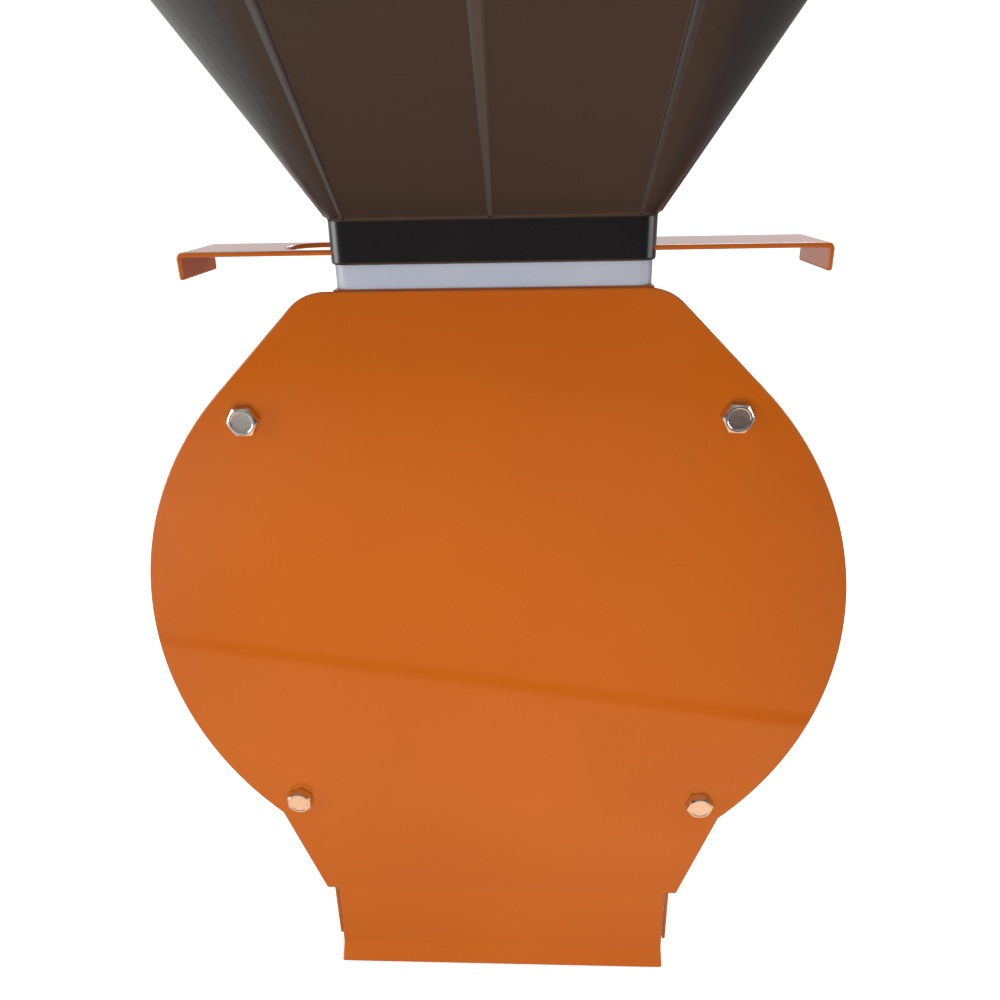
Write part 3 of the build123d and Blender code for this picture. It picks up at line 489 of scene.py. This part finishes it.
def box_plastic():
    """Dark switch-box plastic with a sparked mould texture."""
    s = Surface("dark_box_plastic", IOR=1.5)
    cloud = s.noise(30.0, 3.0)
    colour = s.mix(cloud, (0.018, 0.019, 0.021), (0.032, 0.033, 0.036))
    return s.wear(colour, 0.48 + cloud * 0.1, s.bump(s.noise(1300.0, 2.0), 0.00005))


def seal_rubber():
    """Dull black rubber with a bloom of dust."""
    s = Surface("seal_rubber", IOR=1.5)
    bloom = s.noise(90.0, 5.0, 0.6)
    colour = s.mix(bloom, (0.012, 0.012, 0.012), (0.035, 0.034, 0.032))
    return s.wear(colour, 0.75 + bloom * 0.1, s.bump(bloom, 0.0001))


def gloss_plastic(name, dark, light):
    """Glossy moulded plastic, a little worn by rubbing."""
    s = Surface(name, IOR=1.5)
    rub = s.noise(160.0, 4.0, 0.6)
    return s.wear(s.mix(rub, dark, light), 0.18 + rub * 0.16, s.bump(rub, 0.00003))


def studio_floor():
    """Pale floor to the eye. Reflections see a brown bench top that ends in front of the mill."""
    s = Surface("studio_floor", Specular_IOR_Level=0.0)
    cloud = s.noise(2.0, 3.0)
    colour = s.mix(cloud, (0.80, 0.80, 0.80), (0.84, 0.84, 0.84))
    s.wear(colour, 0.9 + cloud * 0.05, s.bump(cloud, 0.00001))
    glow = s.node("ShaderNodeEmission", {}, {"Color": (1.0, 1.0, 1.0), "Strength": floor_glow})[0]
    lit = s.node("ShaderNodeAddShader", {}, {0: Value(s, s.shader.outputs[0]), 1: glow})[0]
    spot = s.node("ShaderNodeSeparateXYZ", {}, {"Vector": s.place})
    ahead = spot["X"] * bench_skew - spot["Y"]
    bench = s.mix(ahead.above(-cover_front * MM, softness=0.10), shade_colour, bench_colour)
    trim = s.mix(ahead.above(bench_edge * MM, softness=0.003), bench, trim_colour)
    near = s.mix(ahead.above((bench_edge + bench_trim) * MM, softness=0.012), trim, room_colour)
    right = s.mix(spot["X"].above(right_reach * MM, softness=0.2), near, right_colour)
    sides = s.mix((spot["X"] * -1.0).above(left_reach * MM, softness=0.3), right, left_colour)
    ground = s.mix(ahead.above(bench_far * MM, softness=1.0), sides, far_colour)
    ray = s.node("ShaderNodeLightPath", {}, {})
    strength = ray["Is Diffuse Ray"] * (bench_bounce - 1.0) + 1.0
    dim = s.node("ShaderNodeEmission", {}, {"Color": ground, "Strength": strength})[0]
    both = s.node("ShaderNodeMixShader", {}, {0: ray["Is Camera Ray"], 1: dim, 2: lit})[0]
    s.put(s.tree.nodes["Material Output"], {"Surface": both})
    return s.material


def make_world():
    """White to the eye. Reflections see a dim room in front and a bright one behind and above."""
    world = bpy.data.worlds.new("studio")
    bpy.context.scene.world = world
    world.use_nodes = True
    sky = Finish(world.node_tree)
    way = sky.node("ShaderNodeTexCoord", {}, {})["Generated"]
    split = sky.node("ShaderNodeSeparateXYZ", {}, {"Vector": way})
    low_stops = [
        (0.0, (0.05, 0.05, 0.06)),
        (0.25, (0.20, 0.20, 0.21)),
        (0.62, (0.24, 0.24, 0.26)),
        (0.8, (1.10, 1.15, 1.22)),
    ]
    room = sky.node("ShaderNodeValToRGB", {"stops": low_stops}, {"Fac": split["Z"]})["Color"]
    behind = split["Y"].above(0.0, 0.5)
    both = sky.mix(behind, room, (0.72, 0.72, 0.73))
    seen = sky.node("ShaderNodeLightPath", {}, {})["Is Camera Ray"]
    sky.put(sky.tree.nodes["Background"], {"Color": sky.mix(seen, both, (1.0, 1.0, 1.0)), "Strength": 1.0})


def make_stage():
    """Floor, world and soft boxes, with plain view settings. The floor reaches 12 metres each way."""
    reach = 12.0
    mesh = bpy.data.meshes.new("floor")
    corners = [(-reach, -reach, 0), (reach, -reach, 0), (reach, reach, 0), (-reach, reach, 0)]
    mesh.from_pydata(corners, [], [(0, 1, 2, 3)])
    mesh.materials.append(studio_floor())
    floor = bpy.data.objects.new("floor", mesh)
    bpy.context.scene.collection.objects.link(floor)
    make_world()
    soft_box(
        "key_light",
        place=(-30, cover_front - 450, axis_z),
        target=(-30, cover_front, axis_z),
        size=(460, 340),
        power=1.5,
        lights=["diffuse"],
    )
    for name, side, power in (("left_light", -1, 4), ("right_light", 1, 2)):
        soft_box(
            name,
            place=(side * 1300, -700, 420),
            target=(side * 150, -130, 240),
            size=(160, 900),
            power=power,
            lights=["diffuse"],
        )
    for name, side, power in (("left_gloss", -1, 11), ("right_gloss", 1, 6)):
        soft_box(
            name,
            place=(side * 1300, -500, 520),
            target=(side * 150, -130, 300),
            size=(900, 800),
            power=power,
            lights=["glossy"],
        )
    soft_box("back_light", place=(400, 1600, 1400), target=(0, 50, 350), size=(1200, 800), power=26)
    bpy.context.scene.view_settings.view_transform = "Standard"


# ---- mesh making -----------------------------------------------------------------------

def arc(centre, radius, start, end, steps):
    """Points on an arc with both ends, angles in degrees."""
    turns = [radians(start + (end - start) * n / steps) for n in range(steps + 1)]
    return [(centre[0] + radius * cos(a), centre[1] + radius * sin(a)) for a in turns]


def rounded(points, radii, steps=5):
    """A closed outline through corners, each rounded by its radius (0 keeps it sharp)."""
    outline = []
    for n, (corner, radius) in enumerate(zip(points, radii)):
        if radius <= 0:
            outline.append(tuple(corner))
            continue
        here = Vector(corner)
        back = (Vector(points[n - 1]) - here).normalized()
        ahead = (Vector(points[(n + 1) % len(points)]) - here).normalized()
        half = back.angle(ahead) / 2
        middle = here + (back + ahead).normalized() * radius / sin(half)
        first = here + back * radius / tan(half) - middle
        swing = first.angle_signed(here + ahead * radius / tan(half) - middle)
        for step in range(steps + 1):
            turned = first.copy()
            turned.rotate(Matrix.Rotation(-swing * step / steps, 2))
            outline.append(tuple(middle + turned))
    return outline


def circle(centre, radius, count):
    """Points round a circle, clockwise, as the outline of a hole."""
    return arc(centre, radius, 0, -360 + 360 / count, count - 1)


def quarter_round(radius):
    """How far in and how far up a rounded edge is, from its foot to its upright side."""
    return [(radius * (1 - sin(radians(a))), radius * (1 - cos(radians(a)))) for a in (0, 30, 60, 90)]


def inset(outline, distance):
    """A closed outline moved to its left by distance, with a limit to how far a sharp corner goes."""
    mitre_limit = 0.3
    moved = []
    for n, point in enumerate(outline):
        here = Vector(point)
        back = (here - Vector(outline[n - 1])).normalized()
        ahead = (Vector(outline[(n + 1) % len(outline)]) - here).normalized()
        left = Vector((-back.y - ahead.y, back.x + ahead.x)).normalized()
        reach = distance / max(mitre_limit, left.dot(Vector((-back.y, back.x))))
        moved.append(tuple(here + left * reach))
    return moved


def chain(bm, loops, closed=False):
    """Faces between each loop of points and the next, all with the same number of points."""
    rings = [[bm.verts.new(point) for point in loop] for loop in loops]
    following = rings[1:] + rings[:1] if closed else rings[1:]
    for lower, upper in zip(rings, following):
        for n in range(len(lower)):
            bm.faces.new((lower[n - 1], lower[n], upper[n], upper[n - 1]))
    return rings


def sheet_blank(outlines, thickness, edge):
    """A flat sheet with rounded edges. The first outline runs counter-clockwise, holes clockwise.

    Its face is at height 0 and its back at minus thickness.
    """
    bm = bmesh.new()
    front = [(side, -down) for side, down in quarter_round(edge)]
    profile = front + [(side, -thickness - height) for side, height in reversed(front)]
    rims_of = {0: [], -1: []}
    for outline in outlines:
        loops = [[(u, v, height) for u, v in inset(outline, side)] for side, height in profile]
        rings = chain(bm, loops)
        for end, rims in rims_of.items():
            ring = rings[end]
            rims.extend(bm.edges.get((ring[n - 1], ring[n])) for n in range(len(ring)))
    for rims in rims_of.values():
        bmesh.ops.triangle_fill(bm, use_beauty=True, use_dissolve=False, edges=rims)
    bmesh.ops.recalc_face_normals(bm, faces=bm.faces)
    return bm


class BentPath:
    """Straight runs joined by arcs of one radius, on the face of a folded sheet."""

    def __init__(self, points, radius, steps=6):
        self.runs = []
        self.cuts = []
        ways = [(Vector(b) - Vector(a)).normalized() for a, b in zip(points, points[1:])]
        place = Vector(points[0])
        travelled = 0.0
        trimmed = 0.0
        for n, way in enumerate(ways):
            length = (Vector(points[n + 1]) - Vector(points[n])).length - trimmed
            turn = way.angle_signed(ways[n + 1]) if n + 1 < len(ways) else 0.0
            trimmed = radius * tan(abs(turn) / 2)
            length -= trimmed
            self.runs.append((travelled, place.copy(), way, 0.0))
            place += way * length
            travelled += length
            if turn:
                arc_length = radius * abs(turn)
                self.runs.append((travelled, place.copy(), way, -turn / arc_length))
                self.cuts += [travelled + arc_length * step / steps for step in range(steps + 1)]
                place, _ = self.spot(travelled + arc_length)
                travelled += arc_length
        self.length = travelled

    def spot(self, distance):
        """Point and direction at a distance along the path."""
        slack = 1e-6
        begun = [run for run in self.runs if run[0] <= distance + slack] or self.runs[:1]
        start, place, way, rate = begun[-1]
        along = distance - start
        if not rate:
            return place + way * along, way
        turned = Matrix.Rotation(rate * along, 2) @ way
        side = Vector((-way.y, way.x)) / rate
        return place + side + Matrix.Rotation(rate * along, 2) @ -side, turned


def fold(bm, path, axis, outward, place):
    """Bends a flat sheet along a path. axis is 0 or 1, the flat direction that runs along it.

    outward is 1 where the sheet's face is on the left of the path and -1 on its right.
    place turns a point of the path, and the distance across, into a place in the frame.
    """
    normal = Vector((0, 0, 0))
    normal[axis] = 1
    for cut in path.cuts:
        everything = bm.verts[:] + bm.edges[:] + bm.faces[:]
        bmesh.ops.bisect_plane(bm, geom=everything, plane_co=normal * cut, plane_no=normal, dist=1e-4)
    for vert in bm.verts:
        point, way = path.spot(vert.co[axis])
        point = point + Vector((-way.y, way.x)) * vert.co.z * outward
        vert.co = place(point, vert.co[1 - axis])
    bmesh.ops.recalc_face_normals(bm, faces=bm.faces)


def as_piece(name, bm, material, body, stands_for, sharp=smooth_angle):
    """A smooth-shaded piece from a bmesh in millimetres, riding on a body."""
    bmesh.ops.scale(bm, vec=(MM, MM, MM), verts=bm.verts)
    for face in bm.faces:
        face.smooth = True
    mesh = bpy.data.meshes.new(name)
    bm.to_mesh(mesh)
    bm.free()
    mesh.materials.append(material)
    mesh.set_sharp_from_angle(angle=radians(sharp))
    piece = bpy.data.objects.new(name, mesh)
    bpy.context.scene.collection.objects.link(piece)
    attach(piece, body)
    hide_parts(*stands_for)
    even_normals(piece)
    return piece


def even_normals(piece):
    """Lets large flat faces keep their shading up to their rounded edges."""
    modifier = piece.modifiers.new("even_normals", "WEIGHTED_NORMAL")
    modifier.mode = "FACE_AREA"
    modifier.weight = 80
    modifier.keep_sharp = True


# ---- pieces ----------------------------------------------------------------------------

def make_cover(paint):
    """Front cover: round plate with shoulders, its tongue leaning forward and folded into a lip."""
    fold_path = BentPath(
        [
            (cover_front, axis_z + top_edge),
            (cover_front, axis_z - ledge_drop),
            (cover_front - tongue_lean, axis_z - fold_drop),
            (
                cover_front - tongue_lean - lip_length * cos(radians(lip_angle)),
                axis_z - fold_drop - lip_length * sin(radians(lip_angle)),
            ),
        ],
        fold_round,
    )
    corner = plate_radius / sqrt(2)
    shoulder = plate_radius * sqrt(2) - top_edge
    end = fold_path.length - top_edge
    notch = -ledge_drop
    right = rounded(
        [
            (0, -end),
            (tongue_half, -end),
            (tongue_half, notch),
            (ledge_half, notch),
            (corner, -corner),
        ],
        [0, ledge_corner, 0, ledge_corner, 0],
    )[1:]
    right += arc((0, 0), plate_radius, -45, 45, 48)[1:]
    top = [(corner, corner), (shoulder, top_edge), (0, top_edge)]
    right += rounded(top, [0, shoulder_round, 0], steps=10)[1:-1]
    left = [(-u, v) for u, v in reversed(right)]
    flat = [(u, top_edge - v) for u, v in right + left]
    holes = [circle((x, top_edge - z), bolt_hole, 32) for x, z in bolt_places]
    bm = sheet_blank([flat[::-1]] + holes, cover_sheet, sheet_edge)
    fold(bm, fold_path, 1, -1, lambda point, across: (across, point.x, point.y))
    return as_piece("cover_sheet", bm, paint, "frame", ["front_cover"])


def make_gate(paint):
    """Slide gate: a strip with both ends folded down and a rounded window."""
    path = BentPath(
        [
            (gate_left, gate_top - gate_tab),
            (gate_left, gate_top),
            (gate_right, gate_top),
            (gate_right, gate_top - gate_tab),
        ],
        gate_round,
    )
    half = gate_depth / 2
    strip = rounded(
        [(0, -half), (path.length, -half), (path.length, half), (0, half)],
        [gate_corner] * 4,
    )
    window_left = gate_left + gate_sheet + gate_window_start
    start = path.length / 2 + window_left - (gate_left + gate_right) / 2
    window_half = half - gate_bar
    window = rounded(
        [
            (start, -window_half),
            (start, window_half),
            (start + gate_window, window_half),
            (start + gate_window, -window_half),
        ],
        [gate_window_round] * 4,
        steps=10,
    )
    bm = sheet_blank([strip, window], gate_sheet, sheet_edge)
    fold(bm, path, 0, 1, lambda point, across: (point.x, inlet_y + across, point.y))
    return as_piece("gate_strip", bm, paint, "gate", ["slide_gate"])


def level_ring(radius, height, count, turn):
    """Points round a level circle, counter-clockwise from turn."""
    angles = [2 * pi * n / count + turn for n in range(count)]
    return [(radius * cos(a), radius * sin(a), height) for a in angles]


def bolt_head_rings(flats, height, turn):
    """Rings of a hexagon head from its bearing face up to the hollow in its top."""
    steps = 12
    half = flats / 2
    crown = half * crown_share
    slope = tan(radians(crown_slope))
    edge_in, edge_up = bearing_edge
    rings = [[] for _ in range(6)]
    for n in range(6 * steps):
        angle = radians(60) * n / steps
        reach = half / cos(angle % radians(60) - radians(30))
        profile = [
            (crown, 0.0),
            (crown, washer_face),
            (reach - edge_in, washer_face),
            (reach, washer_face + edge_up),
            (reach, height - (reach - crown) * slope),
            (crown, height),
        ]
        for ring, (across, up) in zip(rings, profile):
            ring.append((across * cos(angle + turn), across * sin(angle + turn), up))
    for share, sink in head_hollow:
        rings.append(level_ring(half * share, height - sink, 6 * steps, turn))
    return rings


def make_bolt(bm, place, turn):
    """One cover bolt: hexagon head with a washer face, and its shank with a chamfered end."""
    head = bolt_head_rings(bolt_flats, bolt_head, turn)
    count = len(head[0])
    shank = [
        level_ring(bolt_shank - shank_chamfer, -bolt_length, count, turn),
        level_ring(bolt_shank, -bolt_length + shank_chamfer, count, turn),
        level_ring(bolt_shank, 0.0, count, turn),
    ]
    loops = [
        [(place[0] + x, cover_front - z, place[1] + y) for x, y, z in ring]
        for ring in shank + head
    ]
    rings = chain(bm, loops)
    bm.faces.new(rings[0])
    bm.faces.new(rings[-1])


def make_bolts(zinc):
    """The four cover bolts, each stopped at its own turn."""
    bm = bmesh.new()
    for (x, z), turn in zip(bolt_places, bolt_turns):
        make_bolt(bm, (x, axis_z + z), radians(turn))
    bmesh.ops.recalc_face_normals(bm, faces=bm.faces)
    return as_piece("cover_bolt_heads", bm, zinc, "frame", ["cover_bolts"], sharp=20)


def side_points(half, bead, rib, lift):
    """Places along one flat side of the hopper and how far each stands proud of it.

    A bead runs up each end of the side and a flat-topped rib up its middle.
    """
    start = [(-half + share * bead, height * lift) for share, height in bead_profile]
    middle = [(share * rib, height * lift) for share, height in rib_profile]
    end = [(-place, height) for place, height in reversed(start)]
    return start + middle + end


def hopper_loop(grown, offset, height, lift=0.0):
    """Outline of the hopper at a height. grown is 0 at the neck and 1 at the mouth."""
    width = neck_width + (mouth_side - neck_width) * grown + 2 * offset
    depth = neck_depth + (mouth_side - neck_depth) * grown + 2 * offset
    radius = neck_round + (mouth_round - neck_round) * grown + offset
    return outline_loop(width, depth, max(radius, least_round), height, grown, lift)


def outline_loop(width, depth, radius, height, grown, lift):
    """A rounded rectangle round the inlet's middle, with the ribs of each side."""
    bead = bead_at_neck + bead_gain * grown
    rib = rib_at_neck + rib_gain * grown
    loop = []
    for side in range(4):
        across = (width if side % 2 == 0 else depth) / 2 - radius
        out = (depth if side % 2 == 0 else width) / 2
        turn = Matrix.Rotation(radians(90 * side), 2)
        bead_fits = min(bead, across * bead_limit)
        rib_fits = min(rib, across * rib_limit)
        local = [Vector((u, -out - proud)) for u, proud in side_points(across, bead_fits, rib_fits, lift)]
        local += [Vector(p) for p in arc((across, -out + radius), radius, -90, 0, 10)[1:-1]]
        for point in local:
            turned = turn @ point
            loop.append((inlet_x + turned.x, inlet_y + turned.y, height))
    return loop


def hopper_stations():
    """Cross-section of the hopper: growth, offset, height and rib height of each loop."""
    share = funnel_blend / funnel_height
    outside = [(0, -side, neck_base + up, 0) for side, up in quarter_round(neck_edge)]
    for n in range(7):
        u = n / 6
        height = neck_top + funnel_blend * (2 * u - 1)
        outside.append((u * u * share, 0, height, rib_stand * max(0, (u - rib_start) / (1 - rib_start))))
    for n in range(7):
        u = n / 6
        height = funnel_top + funnel_blend * (2 * u - 1)
        outside.append((1 - (1 - u) ** 2 * share, 0, height, rib_stand * (1 - u)))
    under = hopper_top - rim_sheet
    skirt = hopper_top - rim_skirt
    inner = rim_width - rim_sheet
    rim_corners = [
        ((0, under - rim_start), 0),
        ((0, under), 1.5),
        ((inner, under), 0.8),
        ((inner, skirt), 0.8),
        ((rim_width, skirt), 1.0),
        ((rim_width, hopper_top), 2.2),
        ((-hopper_wall, hopper_top), 1.5),
        ((-hopper_wall, under - rim_start), 0),
    ]
    corners, rounds = zip(*rim_corners)
    rim = [(1, offset, height, 0) for offset, height in rounded(corners, rounds, steps=3)]
    inside = []
    for n in range(5):
        u = n / 4
        inside.append((1 - u * u * share, -hopper_wall, funnel_top + funnel_blend * (1 - 2 * u), 0))
    for n in range(5):
        u = n / 4
        inside.append(((1 - u) ** 2 * share, -neck_wall, neck_top + funnel_blend * (1 - 2 * u), 0))
    inside.append((0, -neck_wall, neck_base + neck_floor, 0))
    return outside + rim + inside


def cut_from(piece, cutter):
    """Subtracts one piece from another, for good, and removes the cutter."""
    modifier = piece.modifiers.new("cut", "BOOLEAN")
    modifier.operation = "DIFFERENCE"
    modifier.solver = "EXACT"
    modifier.object = cutter
    bpy.context.view_layer.update()
    shaped = bpy.data.meshes.new_from_object(piece.evaluated_get(bpy.context.evaluated_depsgraph_get()))
    piece.modifiers.remove(modifier)
    piece.data = shaped
    bpy.data.objects.remove(cutter)


def make_cutter(bm):
    """A bare object from a bmesh in millimetres, to cut with."""
    bmesh.ops.scale(bm, vec=(MM, MM, MM), verts=bm.verts)
    bmesh.ops.recalc_face_normals(bm, faces=bm.faces)
    mesh = bpy.data.meshes.new("cutter")
    bm.to_mesh(mesh)
    bm.free()
    cutter = bpy.data.objects.new("cutter", mesh)
    bpy.context.scene.collection.objects.link(cutter)
    return cutter


def gate_slot():
    """The flat space that the gate slides through, across the neck."""
    low = neck_base + neck_floor
    high = low + gate_sheet + gate_slack
    half = neck_depth / 2 - neck_wall
    left = inlet_x - neck_width
    right = inlet_x + neck_width
    front = inlet_y - half
    back = inlet_y + half
    loops = [[(left, front, z), (right, front, z), (right, back, z), (left, back, z)] for z in (low, high)]
    bm = bmesh.new()
    rings = chain(bm, loops)
    bm.faces.new(rings[0])
    bm.faces.new(rings[1])
    return make_cutter(bm)


def screw_sinks():
    """The four screw holes in the neck's floor, with their countersinks, cut a little past its faces."""
    floor_top = neck_base + neck_floor
    profile = [
        (screw_hole, neck_base - 1.0),
        (screw_hole, floor_top - screw_sink),
        (screw_head, floor_top),
        (screw_head, floor_top + 0.2),
    ]
    bm = bmesh.new()
    for x, y in screw_places:
        centre = (inlet_x + x, inlet_y + y)
        loops = [[(u, v, height) for u, v in circle(centre, radius, 28)] for radius, height in profile]
        rings = chain(bm, loops)
        bm.faces.new(rings[0])
        bm.faces.new(rings[-1])
    return make_cutter(bm)


def paint_rib_highlights(bm, rings):
    """Gives the outer faces of the funnel's beads and ribs the second material: a lighter plastic, painted
    highlight along them.
    """
    bead = len(bead_profile)
    rib = len(rib_profile)
    side = len(rings[0]) // 4
    plain = (0, bead, bead + rib, *range(2 * bead + rib, side))
    for lower, upper in zip(rings, rings[1:]):
        if neck_top < lower[0].co.z < upper[0].co.z < funnel_top:
            for n in range(len(lower)):
                if n % side not in plain:
                    face = bm.faces.get((lower[n - 1], lower[n], upper[n], upper[n - 1]))
                    face.material_index = 1


def make_hopper(plastic, rib_highlight_plastic):
    """Hopper: neck, four-sided funnel with rounded corners, box and turned-down rim.

    The slot and the screw holes are cut from its bare mesh.
    """
    loops = [hopper_loop(*station) for station in hopper_stations()]
    throat = [
        outline_loop(throat_width, throat_depth, throat_round, height, grown=0.0, lift=0.0)
        for height in (neck_base + neck_floor, neck_base)
    ]
    bm = bmesh.new()
    paint_rib_highlights(bm, chain(bm, loops + throat, closed=True))
    bmesh.ops.recalc_face_normals(bm, faces=bm.faces)
    hopper = as_piece("hopper_shell", bm, plastic, "frame", ["hopper"])
    # Second material: lighter plastic, painted highlight on the beads and ribs.
    hopper.data.materials.append(rib_highlight_plastic)
    hopper.modifiers.clear()
    cut_from(hopper, gate_slot())
    cut_from(hopper, screw_sinks())
    for polygon in hopper.data.polygons:
        polygon.use_smooth = True
    hopper.data.set_sharp_from_angle(angle=radians(smooth_angle))
    even_normals(hopper)
    return hopper


# ---- CAD nodes that keep their own shape -----------------------------------------------

def dress(names, material, width, segments=2):
    """Gives CAD nodes a material and softened edges, of that width in millimetres."""
    for name in names:
        piece = nodes[name]
        piece.data.materials.clear()
        piece.data.materials.append(material)
        for polygon in piece.data.polygons:
            polygon.use_smooth = True
        weld = piece.modifiers.new("weld", "WELD")
        weld.merge_threshold = weld_reach
        flats = piece.modifiers.new("whole_flats", "DECIMATE")
        flats.decimate_type = "DISSOLVE"
        flats.angle_limit = radians(flat_angle)
        bevel = piece.modifiers.new("soft_edges", "BEVEL")
        bevel.width = width * MM
        bevel.segments = segments
        bevel.limit_method = "ANGLE"
        bevel.angle_limit = radians(edge_angle)
        even_normals(piece)


def dress_all():
    """Materials of every CAD node that is shown as it is. Returns the powder coat and the zinc."""
    orange = powder_coat()
    zinc = zinc_plate()
    alloy = cast_alloy()
    steel = turned_steel("ground_steel", (0.50, 0.50, 0.49), (0.66, 0.66, 0.65), 0.24)
    tool = turned_steel("hammer_steel", (0.20, 0.20, 0.21), (0.34, 0.34, 0.35), 0.38)
    box = box_plastic()
    iron = laminated_iron()
    green = ("green_button", (0.005, 0.16, 0.035), (0.010, 0.24, 0.055))
    red = ("red_button", (0.42, 0.010, 0.008), (0.58, 0.018, 0.014))
    cream = ("capacitor_can", (0.60, 0.60, 0.57), (0.70, 0.70, 0.67))
    hammers = [f"hammer_{n}" for n in (1, 2, 3, 4)]
    bearings = [f"bearing_{race}_{end}" for race in ("inner", "outer") for end in ("front", "rear")]
    dress(["rear_plate", "drum_shell", "inlet_duct", "foot"], orange, 0.5)
    dress(["chute_wall_left", "chute_wall_right"], orange, 0.5)
    dress(["cover_posts"], orange, 0.6)
    dress(["spacer_frame"], spacer_plastic(), 0.7, segments=3)
    dress(["foot_bolts", "lid_screws", "hopper_screws", "hopper_nuts"], zinc, 0.3)
    dress(["shaft_bolt", "shaft_washer", "motor_bolts", "capacitor_strap"], zinc, 0.3)
    dress([*hammers, "hammer_pins", "pin_sleeves", "screen_stops"], tool, 0.4)
    dress(["shaft", "hub", "shaft_key", "rotor_disc_front", "rotor_disc_rear"], steel, 0.3)
    dress(bearings, steel, 0.3)
    dress(["screen"], punched_sheet(), 0.15)
    dress(["stator_frame", "motor_flange_shield", "rear_shield"], alloy, 0.6)
    dress(["stator_core", "rotor_core"], iron, 0.2)
    dress(["windings"], varnished_copper(), 2.0, segments=3)
    dress(["fan_cowl"], satin_paint(), 0.3)
    dress(["switch_box", "box_lid", "button_bezel", "cable_gland", "cooling_fan", "switch_block"], box, 0.5)
    dress(["box_gasket"], seal_rubber(), 0.3)
    dress(["start_button"], gloss_plastic(*green), 0.8, segments=3)
    dress(["stop_button"], gloss_plastic(*red), 0.8, segments=3)
    dress(["capacitor"], gloss_plastic(*cream), 1.0, segments=3)
    return orange, zinc


make_camera()
make_stage()
orange_coat, zinc = dress_all()
make_cover(orange_coat)
make_gate(orange_coat)
make_bolts(zinc)
make_hopper(
    hopper_plastic("black_moulded_plastic", (0.0050, 0.0052, 0.0060), (0.0095, 0.0095, 0.0105)),
    # The second plastic is lighter than the first: painted highlight on the beads and ribs.
    hopper_plastic("black_plastic_painted_rib_highlight", (0.026, 0.026, 0.028), (0.050, 0.049, 0.050)),
)
